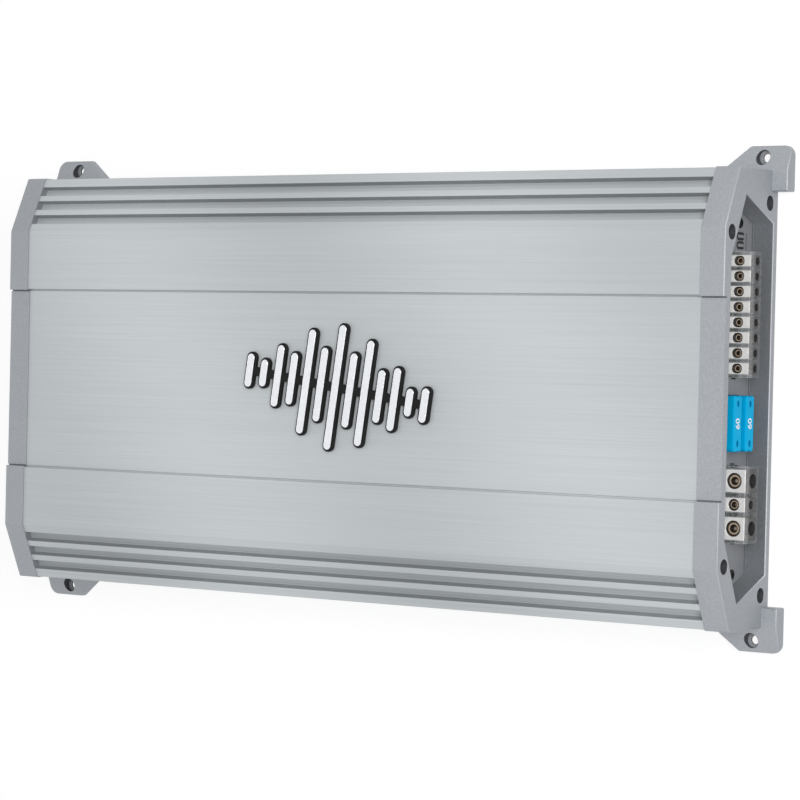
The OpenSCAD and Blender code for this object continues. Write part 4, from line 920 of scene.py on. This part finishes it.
def print_on_panel(name, shape):
    bmesh.ops.recalc_face_normals(shape, faces=shape.faces)
    marks = as_object(name, shape)
    coat(marks.data, "print_black")
    settle(marks, WHOLE)


def middle_yz(node):
    low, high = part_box(node)
    return (low.y + high.y) / 2, (low.z + high.z) / 2


def build_signal_prints():
    """Plain marks on the signal panel: a scale of ticks round each level control, and a dash at
    each end of a switch's throw."""
    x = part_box("end_panel_signal")[0].x - MARK_OUT
    shape = bmesh.new()
    for i in LEVELS:
        y, z = middle_yz(f"level_shaft_{i}")
        for k in range(-3, 4):
            turn = math.radians(TICK_ANGLE * k)
            outer = LONG_TICK_OUTER if k % 3 == 0 else TICK_OUTER
            tick = [(y + r * math.sin(turn), z + r * math.cos(turn)) for r in (TICK_INNER, outer)]
            stroke(shape, tick, TICK_WIDTH, x)
    for i in SWITCHES:
        y, z = middle_yz(f"switch_slide_{i}")
        for throw in (0, SWITCH_THROW):
            stroke(shape, [(y + throw, z + up) for up in SWITCH_DASH], TICK_WIDTH, x)
    print_on_panel("signal_marks", shape)


def build_power_prints():
    """Plain marks on the power panel: two arches and a rule past the speaker terminals, and dashes
    at the ends of the terminal rows."""
    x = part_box("end_panel_power")[1].x + MARK_OUT
    shape = bmesh.new()
    bow = [(BOW_HALF * math.cos(a), BOW_HEIGHT + BOW_RISE * math.sin(a))
           for a in (math.radians(15 * k) for k in range(13))]
    arch = [ARCH_FOOT, ARCH_LEG, *bow] + [(-y, z) for y, z in (ARCH_LEG, ARCH_FOOT)]
    for place in ARCHES:
        stroke(shape, [(place + y, z) for y, z in arch], ARCH_WIDTH, x)
    stroke(shape, RULE, RULE_WIDTH, x)
    for y, z in DASHES:
        stroke(shape, [(y, z - DASH_HALF), (y, z + DASH_HALF)], DASH_WIDTH, x)
    print_on_panel("panel_marks", shape)


def build_pieces():
    dressed("heatsink", 0.0004, lean=20, pick=land_edge,
            others=[("heatsink_line_painted_shade", in_line), ("heatsink_wall_painted_shade", groove_faces(True)),
                    ("heatsink_floor_painted_shading", groove_faces(False))])
    for cap in ("end_cap_power", "end_cap_signal"):
        dressed(cap, 0.0008, 3, 15, pick=outer_edge, rim=0.35, edge_finish="cap_edge",
                others=[("cap_inner_painted_shade", faces_recess), ("cap_hole_painted_shade", in_hole)])
    dressed("badge_base", 0.0004)
    dressed("badge_faces", 0.00032)
    build_blocks()
    build_screws()
    build_panel_screws()
    build_fuses()
    build_power_prints()
    build_signal_prints()


# ---------------------------------------------------------------- studio

def light_paths(tree):
    """1 where the camera, a mirror or a clear thing looks at it, else 0."""
    path = add(tree, "ShaderNodeLightPath").outputs
    seen = maths(tree, "MAXIMUM", path["Is Camera Ray"], path["Is Glossy Ray"])
    return maths(tree, "MAXIMUM", seen, path["Is Transmission Ray"])


def make_floor():
    """A pale floor. Where it is looked at it glows white far out, and nearer the middle it keeps
    the object's shadow."""
    near, far = 0.3, 1.6
    shape = bmesh.new()
    bmesh.ops.create_grid(shape, x_segments=2, y_segments=2, size=6.0)
    floor = as_object("floor", shape)
    tree, shader = material("floor_white")
    shader.inputs["Base Color"].default_value = (0.82, 0.82, 0.82, 1)
    shader.inputs["Roughness"].default_value = 0.9
    shader.inputs["Specular IOR Level"].default_value = 0.0
    ins = {0: object_place(tree)}
    away = add(tree, "ShaderNodeVectorMath", ins, operation="LENGTH").outputs["Value"]
    glow = add(tree, "ShaderNodeEmission", {"Strength": spread(tree, away, near, far, 0.86, 1.0)})
    shade = spread(tree, away, near, far, 0.19, 0.0)
    grey = add(tree, "ShaderNodeCombineColor", {0: shade, 1: shade, 2: shade}).outputs[0]
    veil = add(tree, "ShaderNodeBsdfDiffuse", {"Color": grey})
    seen = add(tree, "ShaderNodeAddShader", {0: glow.outputs[0], 1: veil.outputs[0]}).outputs[0]
    ins = {0: light_paths(tree), 1: shader.outputs[0], 2: seen}
    pick = add(tree, "ShaderNodeMixShader", ins).outputs[0]
    tree.links.new(pick, tree.nodes["Material Output"].inputs["Surface"])
    coat(floor.data, "floor_white")


def make_world():
    """Soft light from all round, and white where it is looked at."""
    world = bpy.data.worlds.new("studio")
    bpy.context.scene.world = world
    world.use_nodes = True
    tree = world.node_tree
    soft = tree.nodes["Background"]
    soft.inputs["Color"].default_value = (0.97, 0.985, 1.0, 1)
    soft.inputs["Strength"].default_value = 0.36
    white = add(tree, "ShaderNodeBackground", {"Color": (1, 1, 1, 1), "Strength": 1.0})
    ins = {0: light_paths(tree), 1: soft.outputs[0], 2: white.outputs[0]}
    pick = add(tree, "ShaderNodeMixShader", ins).outputs[0]
    tree.links.new(pick, tree.nodes["World Output"].inputs["Surface"])


def make_lamp(name, place, aim, size, watts):
    data = bpy.data.lights.new(name, "AREA")
    data.shape = "RECTANGLE"
    data.size, data.size_y = size
    data.energy = watts
    lamp = bpy.data.objects.new(name, data)
    lamp.location = place
    lamp.rotation_mode = "QUATERNION"
    lamp.rotation_quaternion = (Vector(aim) - Vector(place)).to_track_quat("-Z", "Y")
    bpy.context.scene.collection.objects.link(lamp)


def make_studio():
    make_floor()
    make_world()
    make_lamp("key", (1.85, 0.35, 2.2), (0, 0, 0), (1.4, 1.4), 48)
    make_lamp("side", (-2.2, -0.3, 0.4), (0, 0, 0.03), (1.4, 0.7), 9)
    bpy.context.scene.view_settings.view_transform = "Standard"


make_camera()
make_finishes()
build_pieces()
make_studio()
bpy.context.view_layer.update()
